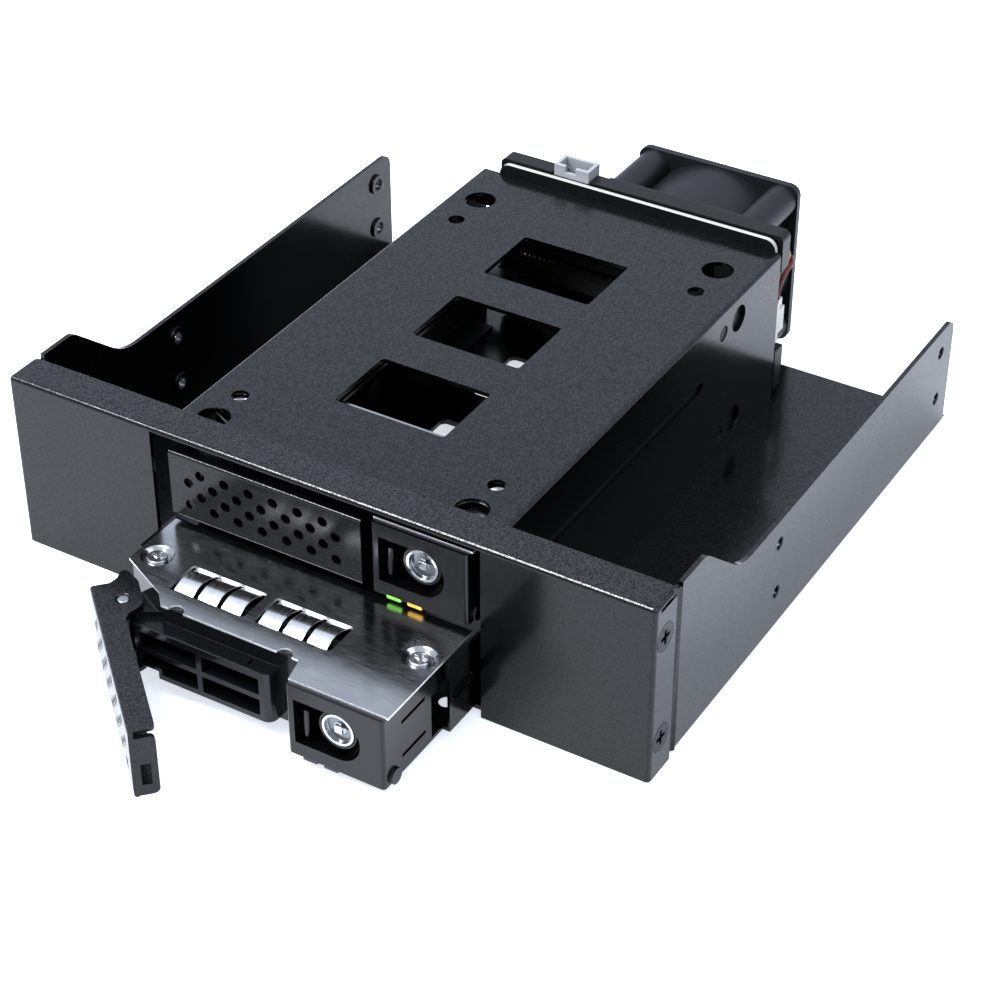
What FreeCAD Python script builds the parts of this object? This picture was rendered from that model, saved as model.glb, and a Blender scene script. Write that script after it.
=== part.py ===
import FreeCAD, Part
import math
import os
from FreeCAD import Vector

# Hot swap drive cage for a half height drive bay: two trays for 2.5 inch drives in a sheet
# steel cage, a backplane board and fan behind it, all on a U bracket with a front panel.
# X is to the right seen from the front, Y runs to the rear, Z is up, all in millimetres.
# While it is modelled, y = 0 is the outer face of the front panel. The finished pieces are
# moved so that y = 0 is the centre of the four bottom mounting holes.

# sheet metal
sheet = 1.0
bend = 1.0
joint_gap = 0.05
running_gap = 0.3

# bracket, with the standard hole places of a 5.25 inch drive
bay_width = 146.0
bracket_front = 1.3
bracket_depth = 138.5
wall_setback = 1.0
wall_height = 27.5
wall_corner = 3.0
hole_rear_inset = 7.25
hole_pitch_y = 79.25
side_hole_low = 10.0
side_hole_pitch = 11.84
bottom_hole_inset = 3.15
mount_hole_radius = 1.5
mount_collar_radius = 2.4
mount_collar_depth = 0.6
wall_peak_end = 18.0
wall_ramp_angle = 40.0
ramp_top_radius = 4.0
ramp_foot_radius = 12.8
ramp_foot_rise = 3.0
floor_window_width = 43.3
floor_window_length = 18.0
floor_window_first = 40.8
floor_window_pitch = 30.2
window_corner = 1.5

# front panel
panel_flange_depth = 8.3
panel_side_depth = 8.1
opening_left = 38.0
opening_right = 36.8
flange_corner = 2.0
panel_screw_y = 4.0
panel_screw_low = 8.4
panel_screw_pitch = 23.7
panel_screw_head_radius = 3.0
panel_screw_radius = 1.5

# drives and the trays that hold them
drive_width = 69.85
drive_length = 100.2
drive_side_gap = 0.075
drive_end_y = 115.7
drive_hole_first = 14.0
drive_hole_second = 90.6
drive_hole_spacing = 61.72
tray_sheet = 0.5
tray_height = 16.8
tray_gap = 1.5
tray_floor_gap = 0.9
head_room = 1.0
tray_side_gap = 1.0
tray_home_y = 1.5
lower_tray_pull = 29.2
tray_rail_width = 8.0
tray_rail_thickness = 0.8
tray_end_y = 115.0
tray_frame_y = 18.8
front_oval = (23.4, 8.1, 7.4, 3.1)
rear_oval = (5.5, 7.0, 5.0)
tray_high_wall_end = 30.0
tray_low_wall = 10.3

# tray front, measured from the cover plate's front edge and the tray's underside
front_side_step = 1.1
cover_thickness = 0.5
cover_depth = 29.0
cover_step_y = 5.3
cover_notch_left = 11.6
cover_notch_right = 12.7
cover_notch_depth = 4.8
cover_overhang = 0.5
front_rail_y = 9.5
cover_corner_x = 20.2
chamfer_start_x = 22.9
chamfer_start_y = 8.3
chamfer_end_y = 14.0
cover_scallops = (-16.7, 8.1)
cover_scallop_radius = 1.7
cover_screw_spacing = 60.2
cover_screw_y = 17.3
cover_dish_radius = 3.4
cover_dish_depth = 0.9
cover_screw_head_radius = 2.1
cover_screw_head_height = 0.8
cover_screw_radius = 1.25
tray_screw_x = 29.2
tray_screw_y = 13.6
tray_screw_radius = 0.9
tray_screw_head_radius = 1.3
tray_screw_head_depth = 0.4
finger_windows = ((-22.2, -4.7), (-2.6, 14.9))
finger_window_y = (10.3, 18.4)
finger_slot = 1.1
finger_thickness = 0.25
finger_rise = 0.75
finger_strip_edge = 0.6
moulding_end_y = 20.1
moulding_arm_x = 26.0
moulding_wall = 1.6
drive_headroom = 10.6
grid_left = -24.6
grid_right = 6.8
grid_front = 2.0
grid_low = 1.4
grid_high = 12.6
grid_wall = 1.2
grid_right_wall = 2.6
grid_corner = 2.0
grid_lip_height = 0.35
grid_lip_width = 0.6
grid_notch_x = -19.5
grid_notch_z = 3.2

# lever
pin_x = -28.9
pin_y = 4.8
pin_radius = 1.2
pin_end_round = 0.35
pin_sink = 0.4
lever_outer = 5.6
lever_heel = 5.5
lever_to_lock = 2.4
lever_depth = 5.1
lever_height = 15.2
lever_ear = 3.7
lever_tooth = 8.7
lever_end_gap = 1.0
lever_tab_depth = 4.9
lever_tab_z = (0.2, 13.8)
lever_tab_corner = 1.2
lever_open_angle = 43.0
lug_radius = 3.1
vent_radius = 1.1
vent_pitch = 5.71
vent_row_pitch = 2.62
vent_rows = (6, 7, 6, 7)
vent_first = 4.55
vent_top = 3.55
catch_slot_y = (1.7, 3.55)
catch_slot_z = (2.6, 7.5)

# lock
lock_left = 12.6
lock_joint_x = 12.3
lock_nose = 1.1
recess_left = 14.3
recess_right = 28.75
recess_low = 3.1
recess_high = 13.25
recess_depth = 9.0
key_x = 23.9
key_z = 10.0
key_radius = 3.5
key_depth = 13.0
key_step = 0.1
key_rim = 0.55
key_bowl_depth = 0.95
key_post = 1.6
key_boss_wall = 0.6
latch_travel = 1.5
latch_rib_x = 15.5
latch_rib_width = 1.3
latch_rib_z = (4.3, 10.6)
latch_plate_y = (4.4, 5.6)
latch_plate_right = 18.0
latch_heel_z = (3.6, 5.9)
spring_length = 4.2
spring_folds = 5
spring_y = (6.2, 7.7)
spring_sheet = 0.45
light_pipes_x = (17.35, 22.0)
light_pipe_width = 3.2
light_pipe_drop = 0.7
light_pipe_head_top = 0.2
light_pipe_head_end = 3.0
light_pipe_top = 0.9
light_pipe_length = 13.0
grip_slots_y = (5.0, 12.9)
grip_slots_z = (3.5, 11.5)
grip_slot_height = 0.8
foot_place = (2.2, 1.4)
foot_radius = 1.7
foot_stand = 0.6

# cage
cage_front = 1.2
left_wall_front = 12.0
right_wall_front = 1.5
cage_window_width = 25.4
cage_window_length = 17.6
cage_windows_y = (36.3, 64.6, 92.9)
cage_pattern_x = -0.7
big_hole_radius = 3.45
big_hole_x = 29.5
big_holes_y = (10.4, 110.5)
small_hole_radius = 1.8
small_holes_y = (19.3, 100.4)
side_slot_y = (18.0, 88.0)
side_slot_width = 2.4
side_slot_above_tray = 5.0
side_hole_radius = 3.0
side_hole_y = 103.9
side_boss_y = 96.8
side_boss_radius = 1.7
side_hole_above_tray = (13.1, 6.0)
cage_tab_length = 6.0
cage_tabs_y = (24.0, 70.0, 114.0)
rail_web = 0.4
rail_rib = 0.7
rail_ledge = 0.6
rail_ledge_width = 5.0
rail_rib_height = 1.2
rail_ribs_above_tray = (1.9, 14.2)
rail_rear = 118.0

# backplane
socket_depth = 6.4
board_thickness = 1.6
board_left = 33.0
board_right = 36.0
board_low = 4.0
board_rise = 2.4
board_corner = 2.5
board_screw_x = 30.0
board_screw_inset = 4.8
board_tab = 6.0
board_screw_radius = 1.2
board_screw_head_radius = 2.0
rear_socket_depth = 7.5
rear_socket_pitch = 8.2
board_vents_x = (6.0, 13.0, 20.0)
socket_centre_x = -9.5
socket_length = 34.0
socket_height = 5.4
socket_above_drive = 3.4
rear_frame_depth = 3.8
rear_frame_wall = 1.2
rear_frame_rise = 0.6
rear_frame_side = 1.0
rear_frame_low = 2.4
rear_gap_z = (13.5, 34.0)

# fan
fan_header_depth = 3.0
fan_plug_x = (31.8, 35.8)
fan_plug_z = (15.0, 24.0)
fan_wire_radius = 0.5
fan_wire_pitch = 1.05
fan_size = 40.0
fan_depth = 20.0
fan_x = 10.0
fan_z = 22.0
fan_hole_pitch = 32.0
fan_flange = 1.6
fan_post_radius = 3.7
fan_duct_radius = 18.6
fan_duct_wall = 0.8
fan_screw_radius = 1.3
blade_count = 7
blade_gap = 0.5
blade_thickness = 0.8
hub_radius = 9.0
fan_shaft_radius = 1.0

# worked out from the sizes above
half_bay = bay_width / 2
wall_depth = bracket_depth - wall_setback
hole_first_y = bracket_depth - hole_rear_inset - hole_pitch_y
floor_low = mount_collar_depth
floor_top = floor_low + sheet
tray_pitch = tray_height + tray_gap
lower_level = floor_top + tray_floor_gap
upper_level = lower_level + tray_pitch
cage_inner_top = upper_level + tray_height + head_room
cage_top = cage_inner_top + sheet
panel_height = cage_top + sheet
tray_half = drive_width / 2 + drive_side_gap + tray_sheet
front_half = tray_half - front_side_step
mould_half = front_half - cover_overhang
mould_front = cover_step_y + cover_overhang
moulding_rear = drive_end_y - drive_length - cover_overhang
cage_inner_half = tray_half + tray_side_gap
cage_half = cage_inner_half + sheet
board_front = tray_home_y + drive_end_y + socket_depth
board_back = board_front + board_thickness
cage_rear = board_front - joint_gap
board_top = cage_top + board_rise
rear_frame_top = board_top + rear_frame_rise
rear_frame_back = board_back + rear_frame_depth
fan_front = rear_frame_back + joint_gap
mould_top = tray_height - cover_thickness
cover_screw_x = cover_screw_spacing / 2
drive_hole_x = drive_hole_spacing / 2
hole_rows_y = (hole_first_y, hole_first_y + hole_pitch_y)
side_rows_z = (side_hole_low, side_hole_low + side_hole_pitch)
panel_screws_z = (panel_screw_low, panel_screw_low + panel_screw_pitch)
origin_y = hole_first_y + hole_pitch_y / 2
lever_end = lock_left - lever_to_lock - pin_x
catch_low_y = pin_y - lever_outer + catch_slot_y[0]
catch_high_y = pin_y - lever_outer + catch_slot_y[1]
key_front = key_step - lock_nose

along_x = Vector(1, 0, 0)
along_y = Vector(0, 1, 0)
along_z = Vector(0, 0, 1)


# basic shapes
def slab(x_low, x_high, y_low, y_high, z_low, z_high):
    return Part.makeBox(x_high - x_low, y_high - y_low, z_high - z_low, Vector(x_low, y_low, z_low))


def rod(x, y, z, radius, length, direction=along_z):
    return Part.makeCylinder(radius, length, Vector(x, y, z), direction)


def cone(x, y, z, radius_start, radius_end, length, direction=along_z):
    return Part.makeCone(radius_start, radius_end, length, Vector(x, y, z), direction)


def fuse(shapes):
    whole = shapes[0].fuse(shapes[1:]) if len(shapes) > 1 else shapes[0]
    return whole.removeSplitter()


def cut(shape, tools):
    return shape.cut(tools)


def plate(points, thickness, to_space, direction):
    # points are corners, or pairs of a point on an arc and the arc's end
    edges = []
    here = to_space(*points[0])
    for item in points[1:] + [points[0]]:
        if isinstance(item[0], tuple):
            middle = to_space(*item[0])
            end = to_space(*item[1])
            edges.append(Part.Arc(here, middle, end).toShape())
        else:
            end = to_space(*item)
            if here.distanceToPoint(end) > 0.001:
                edges.append(Part.LineSegment(here, end).toShape())
        here = end
    face = Part.Face(Part.Wire(edges))
    return face.extrude(direction * thickness)


def flat_plate(points, z_low, thickness):
    return plate(points, thickness, lambda x, y: Vector(x, y, z_low), along_z)


def upright_plate(points, x_low, thickness):
    return plate(points, thickness, lambda y, z: Vector(x_low, y, z), along_x)


def cross_plate(points, y_low, thickness):
    return plate(points, thickness, lambda x, z: Vector(x, y_low, z), along_y)


def edges_along(shape, direction, test):
    chosen = []
    for edge in shape.Edges:
        if edge.Degenerated or edge.Curve.TypeId != "Part::GeomLine":
            continue
        run = edge.Vertexes[-1].Point - edge.Vertexes[0].Point
        if run.cross(direction).Length < 0.001 and test(edge.CenterOfMass):
            chosen.append(edge)
    return chosen


def rounded_window(x, y, width, length, z_low, height, corner):
    block = slab(x - width / 2, x + width / 2, y - length / 2, y + length / 2, z_low, z_low + height)
    return block.makeFillet(corner, edges_along(block, along_z, lambda p: True))


def obround(centre_y, centre_z, length, width, x_low, thickness):
    reach = (length - width) / 2
    y_low = centre_y - reach
    y_high = centre_y + reach
    radius = width / 2
    points = [
        (y_low, centre_z - radius),
        (y_high, centre_z - radius),
        ((y_high + radius, centre_z), (y_high, centre_z + radius)),
        (y_low, centre_z + radius),
        ((y_low - radius, centre_z), (y_low, centre_z - radius)),
    ]
    return upright_plate(points, x_low, thickness)


def cross_recess(x, y, z, size, depth, direction):
    # a cross shaped driver recess cut into a screw head
    arm = size / 4
    if direction == "z":
        first = slab(x - size, x + size, y - arm, y + arm, z - depth, z + 1)
        second = slab(x - arm, x + arm, y - size, y + size, z - depth, z + 1)
    else:
        side = 1 if x > 0 else -1
        near = min(x - side * depth, x + side)
        far = max(x - side * depth, x + side)
        first = slab(near, far, y - size, y + size, z - arm, z + arm)
        second = slab(near, far, y - arm, y + arm, z - size, z + size)
    return first.fuse(second)


def mirrored(shape):
    return shape.mirror(Vector(0, 0, 0), along_x)


# bracket and front panel
def wall_outline():
    # side wall seen from the right: high behind the panel, then an S curve down to the rear
    angle = math.radians(wall_ramp_angle)
    half = angle / 2
    peak = panel_height - running_gap
    fall = ramp_top_radius * (1 - math.cos(angle))
    top_end = (wall_peak_end + ramp_top_radius * math.sin(angle), peak - fall)
    top_mid = (wall_peak_end + ramp_top_radius * math.sin(half), peak - ramp_top_radius * (1 - math.cos(half)))
    foot_start_z = wall_height + ramp_foot_rise
    foot_start_y = top_end[0] + (top_end[1] - foot_start_z) / math.tan(angle)
    foot_radius = ramp_foot_rise / (1 - math.cos(angle))
    foot_end_y = foot_start_y + foot_radius * math.sin(angle)
    foot_mid = (foot_end_y - foot_radius * math.sin(half), wall_height + foot_radius * (1 - math.cos(half)))
    corner_y = wall_depth - wall_corner
    corner_z = wall_height - wall_corner
    corner_mid = (corner_y + wall_corner * math.sin(math.pi / 4), corner_z + wall_corner * math.sin(math.pi / 4))
    front_top = cage_top - running_gap
    step_y = panel_flange_depth + running_gap
    return [
        (bracket_front, floor_low),
        (bracket_front, front_top),
        (step_y, front_top),
        (step_y, peak),
        (wall_peak_end, peak),
        (top_mid, top_end),
        (foot_start_y, foot_start_z),
        (foot_mid, (foot_end_y, wall_height)),
        (corner_y, wall_height),
        (corner_mid, (wall_depth, corner_z)),
        (wall_depth, floor_low + bend),
        (bracket_depth, floor_low + bend),
        (bracket_depth, floor_low),
    ]


def mounting_bracket():
    outer = slab(-half_bay, half_bay, bracket_front, bracket_depth, floor_low, panel_height)
    low_edges = edges_along(outer, along_y, lambda p: p.z < floor_low + 0.1)
    outer = outer.makeFillet(bend, low_edges)
    inner = slab(-half_bay + sheet, half_bay - sheet, 0, bracket_depth + 1, floor_top, panel_height + 1)
    channel = cut(outer, [inner])
    envelope = upright_plate(wall_outline(), -half_bay, bay_width)
    body = channel.common(envelope)
    # the walls step inwards by one sheet where the panel's flanges lap over them
    joggle_end = panel_flange_depth + 0.5
    joggle_out = joggle_end + 1.3
    front_top = cage_top - running_gap
    wide_front = slab(half_bay - sheet, half_bay + 1, 0, joggle_out, floor_low, panel_height + 1)
    body = cut(body, [wide_front, mirrored(wide_front)])
    lap = [
        (half_bay - 2 * sheet, bracket_front),
        (half_bay - sheet, bracket_front),
        (half_bay - sheet, joggle_end),
        (half_bay, joggle_out),
        (half_bay - sheet, joggle_out),
        (half_bay - 2 * sheet, joggle_end + 0.3),
    ]
    strip = flat_plate(lap, floor_low, front_top - floor_low)
    tie = slab(half_bay - sheet - 0.5, half_bay - 0.5, joggle_out - 0.6, joggle_out, floor_low, front_top)
    tie = tie.common(slab(0, half_bay, 0, joggle_out, floor_low, front_top))
    body = fuse([body, strip, mirrored(strip), tie, mirrored(tie)])
    collars = []
    holes = []
    for y in hole_rows_y:
        x = half_bay - bottom_hole_inset
        for side in (-1, 1):
            collars.append(rod(side * x, y, 0, mount_collar_radius, floor_low + sheet / 2))
            holes.append(rod(side * x, y, -1, mount_hole_radius, floor_top + 2))
        for z in side_rows_z:
            start = half_bay - sheet - mount_collar_depth
            collar = rod(start, y, z, mount_collar_radius, mount_collar_depth + sheet / 2, along_x)
            hole = rod(start - 1, y, z, mount_hole_radius, 4, along_x)
            collars.extend([collar, mirrored(collar)])
            holes.extend([hole, mirrored(hole)])
    for index in range(3):
        y = floor_window_first + index * floor_window_pitch
        holes.append(rounded_window(0, y, floor_window_width, floor_window_length, -1, 4, window_corner))
    for y in cage_tabs_y:
        for side in (-1, 1):
            x = side * (cage_half - sheet / 2)
            half_slot = sheet / 2 + joint_gap
            half_length = cage_tab_length / 2 + joint_gap
            holes.append(slab(x - half_slot, x + half_slot, y - half_length, y + half_length, 0, floor_top + 1))
    for z in panel_screws_z:
        hole = rod(half_bay - 4, panel_screw_y, z, panel_screw_radius, 4, along_x)
        holes.extend([hole, mirrored(hole)])
    return cut(fuse([body] + collars), holes)


def front_panel():
    outer = slab(-half_bay, half_bay, 0, panel_flange_depth, 0, panel_height)
    front_edges = edges_along(outer, along_z, lambda p: p.y < 1)
    front_edges += edges_along(outer, along_x, lambda p: p.y < 1 and p.z > 1)
    front_edges += edges_along(outer, along_y, lambda p: p.z > 1)
    outer = outer.makeFillet(bend, front_edges)
    inner = slab(-half_bay + sheet, half_bay - sheet, sheet, panel_flange_depth + 1, -1, panel_height - sheet)
    shell = cut(outer, [inner])
    tools = [slab(-opening_left, opening_right, -1, sheet + 0.5, -1, cage_top)]
    for side in (-1, 1):
        x = side * half_bay
        tools.append(slab(x - 2, x + 2, panel_side_depth, panel_flange_depth + 1, -1, cage_top))
        tools.append(slab(x - 2, x + 2, bend + 1, panel_flange_depth + 1, cage_top - 0.8, cage_top))
        for z in panel_screws_z:
            head = panel_screw_head_radius + joint_gap
            start = Vector(x - side * sheet, panel_screw_y, z)
            away = Vector(side, 0, 0)
            tools.append(Part.makeCone(head - sheet, head, sheet, start, away))
            tools.append(Part.makeCylinder(head - sheet, 2 * sheet, start - away * sheet, away))
        # round the top flange's rear corner
        inner_x = x - side * flange_corner
        y_low = panel_flange_depth - flange_corner
        corner = slab(min(x, inner_x), max(x, inner_x), y_low, panel_flange_depth, cage_top - 0.5, panel_height + 1)
        tools.append(cut(corner, [rod(inner_x, y_low, cage_top - 1, flange_corner, 4)]))
    return cut(shell, tools)


def panel_screws():
    screws = []
    for side in (-1, 1):
        away = Vector(side, 0, 0)
        for z in panel_screws_z:
            face = Vector(side * half_bay, panel_screw_y, z)
            head_base = face - away * sheet
            head = Part.makeCone(panel_screw_head_radius - sheet, panel_screw_head_radius, sheet, head_base, away)
            shank = Part.makeCylinder(panel_screw_radius - joint_gap, 2.2, face - away * (sheet + 2.2), away)
            recess = cross_recess(side * half_bay, panel_screw_y, z, 1.6, 0.6, "x")
            screws.append(cut(head.fuse(shank), [recess]))
    return Part.makeCompound(screws)


# cage
def cage_cover():
    outer = slab(-cage_half, cage_half, cage_front, cage_rear, floor_low, cage_top)
    outer = outer.makeFillet(bend, edges_along(outer, along_y, lambda p: p.z > floor_top))
    inner = slab(-cage_inner_half, cage_inner_half, 0, cage_rear + 1, -1, cage_inner_top)
    shell = cut(outer, [inner])
    tools = []
    for side, front in ((-1, left_wall_front), (1, right_wall_front)):
        x_low = -cage_half - 1 if side < 0 else cage_inner_half - 0.01
        x_high = -cage_inner_half + 0.01 if side < 0 else cage_half + 1
        tools.append(slab(x_low, x_high, 0, front, -1, cage_inner_top))
        tools.append(cage_foot_cut(x_low, x_high))
    for y in cage_windows_y:
        tools.append(rounded_window(cage_pattern_x, y, cage_window_width, cage_window_length, cage_inner_top - 1, 4, 0.8))
    for x in (cage_pattern_x - big_hole_x, cage_pattern_x + big_hole_x):
        for y in big_holes_y:
            tools.append(rod(x, y, cage_inner_top - 1, big_hole_radius, 4))
        for y in small_holes_y:
            tools.append(rod(x, y, cage_inner_top - 1, small_hole_radius, 4))
    slot_centre = (side_slot_y[0] + side_slot_y[1]) / 2
    slot_length = side_slot_y[1] - side_slot_y[0]
    slot_z = upper_level + side_slot_above_tray
    slot = obround(slot_centre, slot_z, slot_length, side_slot_width, cage_inner_half - 1, 4)
    tools.extend([slot, mirrored(slot)])
    for level, above in ((upper_level, side_hole_above_tray[0]), (lower_level, side_hole_above_tray[1])):
        hole = rod(cage_inner_half - 1, side_hole_y, level + above, side_hole_radius, 4, along_x)
        boss_hole = rod(cage_inner_half - 1, side_boss_y, level + above, side_boss_radius + joint_gap, 4, along_x)
        tools.extend([hole, mirrored(hole), boss_hole, mirrored(boss_hole)])
    shell = cut(shell, tools)
    tabs = []
    tab_holes = []
    for x, z in board_screw_places():
        side = 1 if x > 0 else -1
        x_low = min(side * cage_inner_half, side * (abs(x) - board_tab / 2))
        x_high = max(side * cage_inner_half, side * (abs(x) - board_tab / 2))
        tabs.append(slab(x_low, x_high, cage_rear - sheet, cage_rear, z - board_tab / 2, z + board_tab / 2))
        tab_holes.append(rod(x, cage_rear - 3, z, board_screw_radius + joint_gap, 5, along_y))
    return cut(fuse([shell] + tabs), tab_holes)


def cage_foot_cut(x_low, x_high):
    # below the floor's top only the tabs of the side walls are left
    strip = slab(x_low, x_high, 0, cage_rear + 1, -1, floor_top)
    half = cage_tab_length / 2
    keep = [slab(x_low - 1, x_high + 1, y - half, y + half, -2, floor_top + 1) for y in cage_tabs_y]
    return cut(strip, keep)


def board_screw_places():
    high = cage_inner_top - board_screw_inset
    low = board_low + board_screw_inset
    return [(-board_screw_x, high), (board_screw_x, high), (-board_screw_x, low), (board_screw_x, low)]


def guide_rail(front, rib_front):
    # right hand rail: a web on the cage wall, a ledge under each tray and two ribs beside it
    face = cage_inner_half
    parts = [slab(face - rail_web, face, front, rail_rear, floor_top, cage_inner_top - running_gap)]
    for level in (lower_level, upper_level):
        ledge_top = level - running_gap
        inner_x = face - rail_ledge_width
        parts.append(slab(inner_x, face, front, rail_rear, ledge_top - rail_ledge, ledge_top))
        for above in rail_ribs_above_tray:
            z = level + above
            parts.append(slab(face - rail_rib, face, rib_front, rail_rear, z, z + rail_rib_height))
    for level, above in ((upper_level, side_hole_above_tray[0]), (lower_level, side_hole_above_tray[1])):
        parts.append(rod(face - rail_web, side_boss_y, level + above, side_boss_radius, rail_web + sheet * 0.8, along_x))
    return fuse(parts)


# backplane and fan
def backplane_board():
    board = slab(-board_left, board_right, board_front, board_back, board_low, board_top)
    board = board.makeFillet(board_corner, edges_along(board, along_y, lambda p: p.z > board_top - 1))
    tools = [rod(x, board_front - 1, z, board_screw_radius + 0.2, 4, along_y) for x, z in board_screw_places()]
    for x in board_vents_x:
        for level in (lower_level, upper_level):
            z_low = level + 1.5
            vent = slab(x - 1.8, x + 1.8, board_front - 1, board_back + 1, z_low, z_low + tray_height * 0.6)
            tools.append(vent.makeFillet(1.5, edges_along(vent, along_y, lambda p: True)))
    return cut(board, tools)


def board_screws():
    screws = []
    for x, z in board_screw_places():
        start = cage_rear - 2.5
        shank = rod(x, start, z, board_screw_radius, board_back - start, along_y)
        head = rod(x, board_back, z, board_screw_head_radius, 1.2, along_y)
        top = Vector(x, board_back + 1.2, z)
        arm = board_screw_radius / 2
        slot_a = slab(top.x - 1.6, top.x + 1.6, top.y - 0.5, top.y + 1, top.z - arm / 2, top.z + arm / 2)
        slot_b = slab(top.x - arm / 2, top.x + arm / 2, top.y - 0.5, top.y + 1, top.z - 1.6, top.z + 1.6)
        screws.append(cut(shank.fuse(head), [slot_a, slot_b]))
    return Part.makeCompound(screws)


def drive_socket(level):
    centre = level + tray_rail_thickness + socket_above_drive
    half = socket_length / 2
    front = board_front - socket_depth + running_gap
    low = centre - socket_height / 2
    high = centre + socket_height / 2
    body = slab(socket_centre_x - half, socket_centre_x + half, front, board_front, low, high)
    body = body.makeFillet(0.6, edges_along(body, along_y, lambda p: True))
    signal = slab(socket_centre_x - 15.0, socket_centre_x - 4.4, front - 1, front + 5, centre - 0.9, centre + 0.7)
    signal_key = slab(socket_centre_x - 15.0, socket_centre_x - 13.8, front - 1, front + 5, centre - 0.9, centre + 1.7)
    power = slab(socket_centre_x - 2.6, socket_centre_x + 15.0, front - 1, front + 5, centre - 0.9, centre + 0.7)
    power_key = slab(socket_centre_x + 13.8, socket_centre_x + 15.0, front - 1, front + 5, centre - 0.9, centre + 1.7)
    return cut(body, [signal.fuse(signal_key), power.fuse(power_key)])


def rear_frame():
    left = -board_left - 0.6
    right = board_right + rear_frame_side
    block = slab(left, right, board_back + joint_gap, rear_frame_back, rear_frame_low, rear_frame_top)
    block = block.makeFillet(1.5, edges_along(block, along_y, lambda p: True))
    wall = rear_frame_wall
    plate_front = rear_frame_back - wall
    hollow = slab(left + wall, right - wall, board_back - 1, plate_front, rear_frame_low + wall, rear_frame_top - wall)
    tools = [hollow]
    tools.append(rod(fan_x, plate_front - 1, fan_z, fan_duct_radius, wall + 2, along_y))
    # the right side is open between its corners, and the left side over the sockets
    tools.append(slab(right - 5.5, right + 1, board_back - 1, rear_frame_back + 1, rear_gap_z[0], rear_gap_z[1]))
    sockets_left = rear_sockets_left() - running_gap
    tools.append(slab(sockets_left, sockets_left + 18.0, plate_front - 1, rear_frame_back + 1, 5.0, 34.5))
    tools.append(slab(-20.2, -10.6, board_back - 1, rear_frame_back + 1, 36.2, rear_frame_top + 1))
    for x, z in fan_screw_places():
        tools.append(rod(x, plate_front - 1, z, fan_screw_radius - 0.15, wall + 2, along_y))
    frame = cut(block, tools)
    return frame


def fan_screw_places():
    half = fan_hole_pitch / 2
    return [(fan_x + a * half, fan_z + b * half) for a in (-1, 1) for b in (-1, 1)]


def fan_frame():
    rear = fan_front + fan_depth
    half = fan_size / 2
    shapes = [rod(fan_x, fan_front, fan_z, fan_duct_radius + fan_duct_wall, fan_depth, along_y)]
    for y in (fan_front, rear - fan_flange):
        flange = slab(fan_x - half, fan_x + half, y, y + fan_flange, fan_z - half, fan_z + half)
        shapes.append(flange.makeFillet(2.5, edges_along(flange, along_y, lambda p: True)))
    for x, z in fan_screw_places():
        shapes.append(rod(x, fan_front, z, fan_post_radius, fan_depth, along_y))
    body = fuse(shapes)
    tools = [rod(fan_x, fan_front - 1, fan_z, fan_duct_radius, fan_depth + 2, along_y)]
    for x, z in fan_screw_places():
        tools.append(rod(x, fan_front - 1, z, fan_screw_radius + joint_gap, fan_depth + 2, along_y))
    body = cut(body, tools)
    base_y = rear - 2.5
    hub = rod(fan_x, base_y, fan_z, hub_radius, 2.5, along_y)
    struts = []
    for index in range(4):
        strut = slab(-1.0, 1.0, base_y + 0.5, rear, hub_radius - 1, fan_duct_radius + 0.4)
        strut.rotate(Vector(0, 0, 0), along_y, 90 * index + 45)
        strut.translate(Vector(fan_x, 0, fan_z))
        struts.append(strut)
    bore = rod(fan_x, base_y - 1, fan_z, fan_shaft_radius + joint_gap, 3.0, along_y)
    return cut(fuse([body, hub] + struts), [bore])


def fan_rotor():
    front = fan_front + 1.5
    depth = fan_depth - 5.0
    hub = rod(0, 0, 0, hub_radius, depth, along_y)
    hub = hub.makeFillet(1.2, [edge for edge in hub.Edges if edge.CenterOfMass.y < 0.1 and edge.Closed])
    shaft = rod(0, depth, 0, fan_shaft_radius, 2.8, along_y)
    tip = fan_duct_radius - blade_gap
    blades = []
    for index in range(blade_count):
        blade = Part.makeLoft([blade_section(hub_radius - 1.5, 50), blade_section(tip + 0.6, 34)], True, True)
        blade = blade.common(rod(0, -1, 0, tip, depth + 2, along_y))
        blade.rotate(Vector(0, 0, 0), along_y, 360 / blade_count * index)
        blades.append(blade)
    rotor = fuse([hub, shaft] + blades)
    rotor.translate(Vector(fan_x, front, fan_z))
    return rotor


def blade_section(radius, pitch):
    # a thin curved strip across the blade at one radius, turned more steeply near the hub
    span = fan_depth - 8.0
    lean = span / math.tan(math.radians(pitch))
    sag = 0.14 * span
    low = Vector(-lean / 2, 1.5, radius)
    high = Vector(lean / 2, 1.5 + span, radius)
    middle = Vector(-sag, 1.5 + span / 2, radius)
    shift = Vector(blade_thickness, 0, 0)
    edges = [
        Part.Arc(low, middle, high).toShape(),
        Part.LineSegment(high, high + shift).toShape(),
        Part.Arc(high + shift, middle + shift, low + shift).toShape(),
        Part.LineSegment(low + shift, low).toShape(),
    ]
    return Part.Wire(edges)


def fan_screws():
    screws = []
    for x, z in fan_screw_places():
        rear = fan_front + fan_depth
        start = rear_frame_back - rear_frame_wall
        shank = rod(x, start, z, fan_screw_radius - 0.15, rear - start, along_y)
        head = rod(x, rear, z, 2.4, 1.2, along_y)
        recess_a = slab(x - 1.4, x + 1.4, rear + 0.6, rear + 2, z - 0.35, z + 0.35)
        recess_b = slab(x - 0.35, x + 0.35, rear + 0.6, rear + 2, z - 1.4, z + 1.4)
        screws.append(cut(shank.fuse(head), [recess_a, recess_b]))
    return Part.makeCompound(screws)


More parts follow.
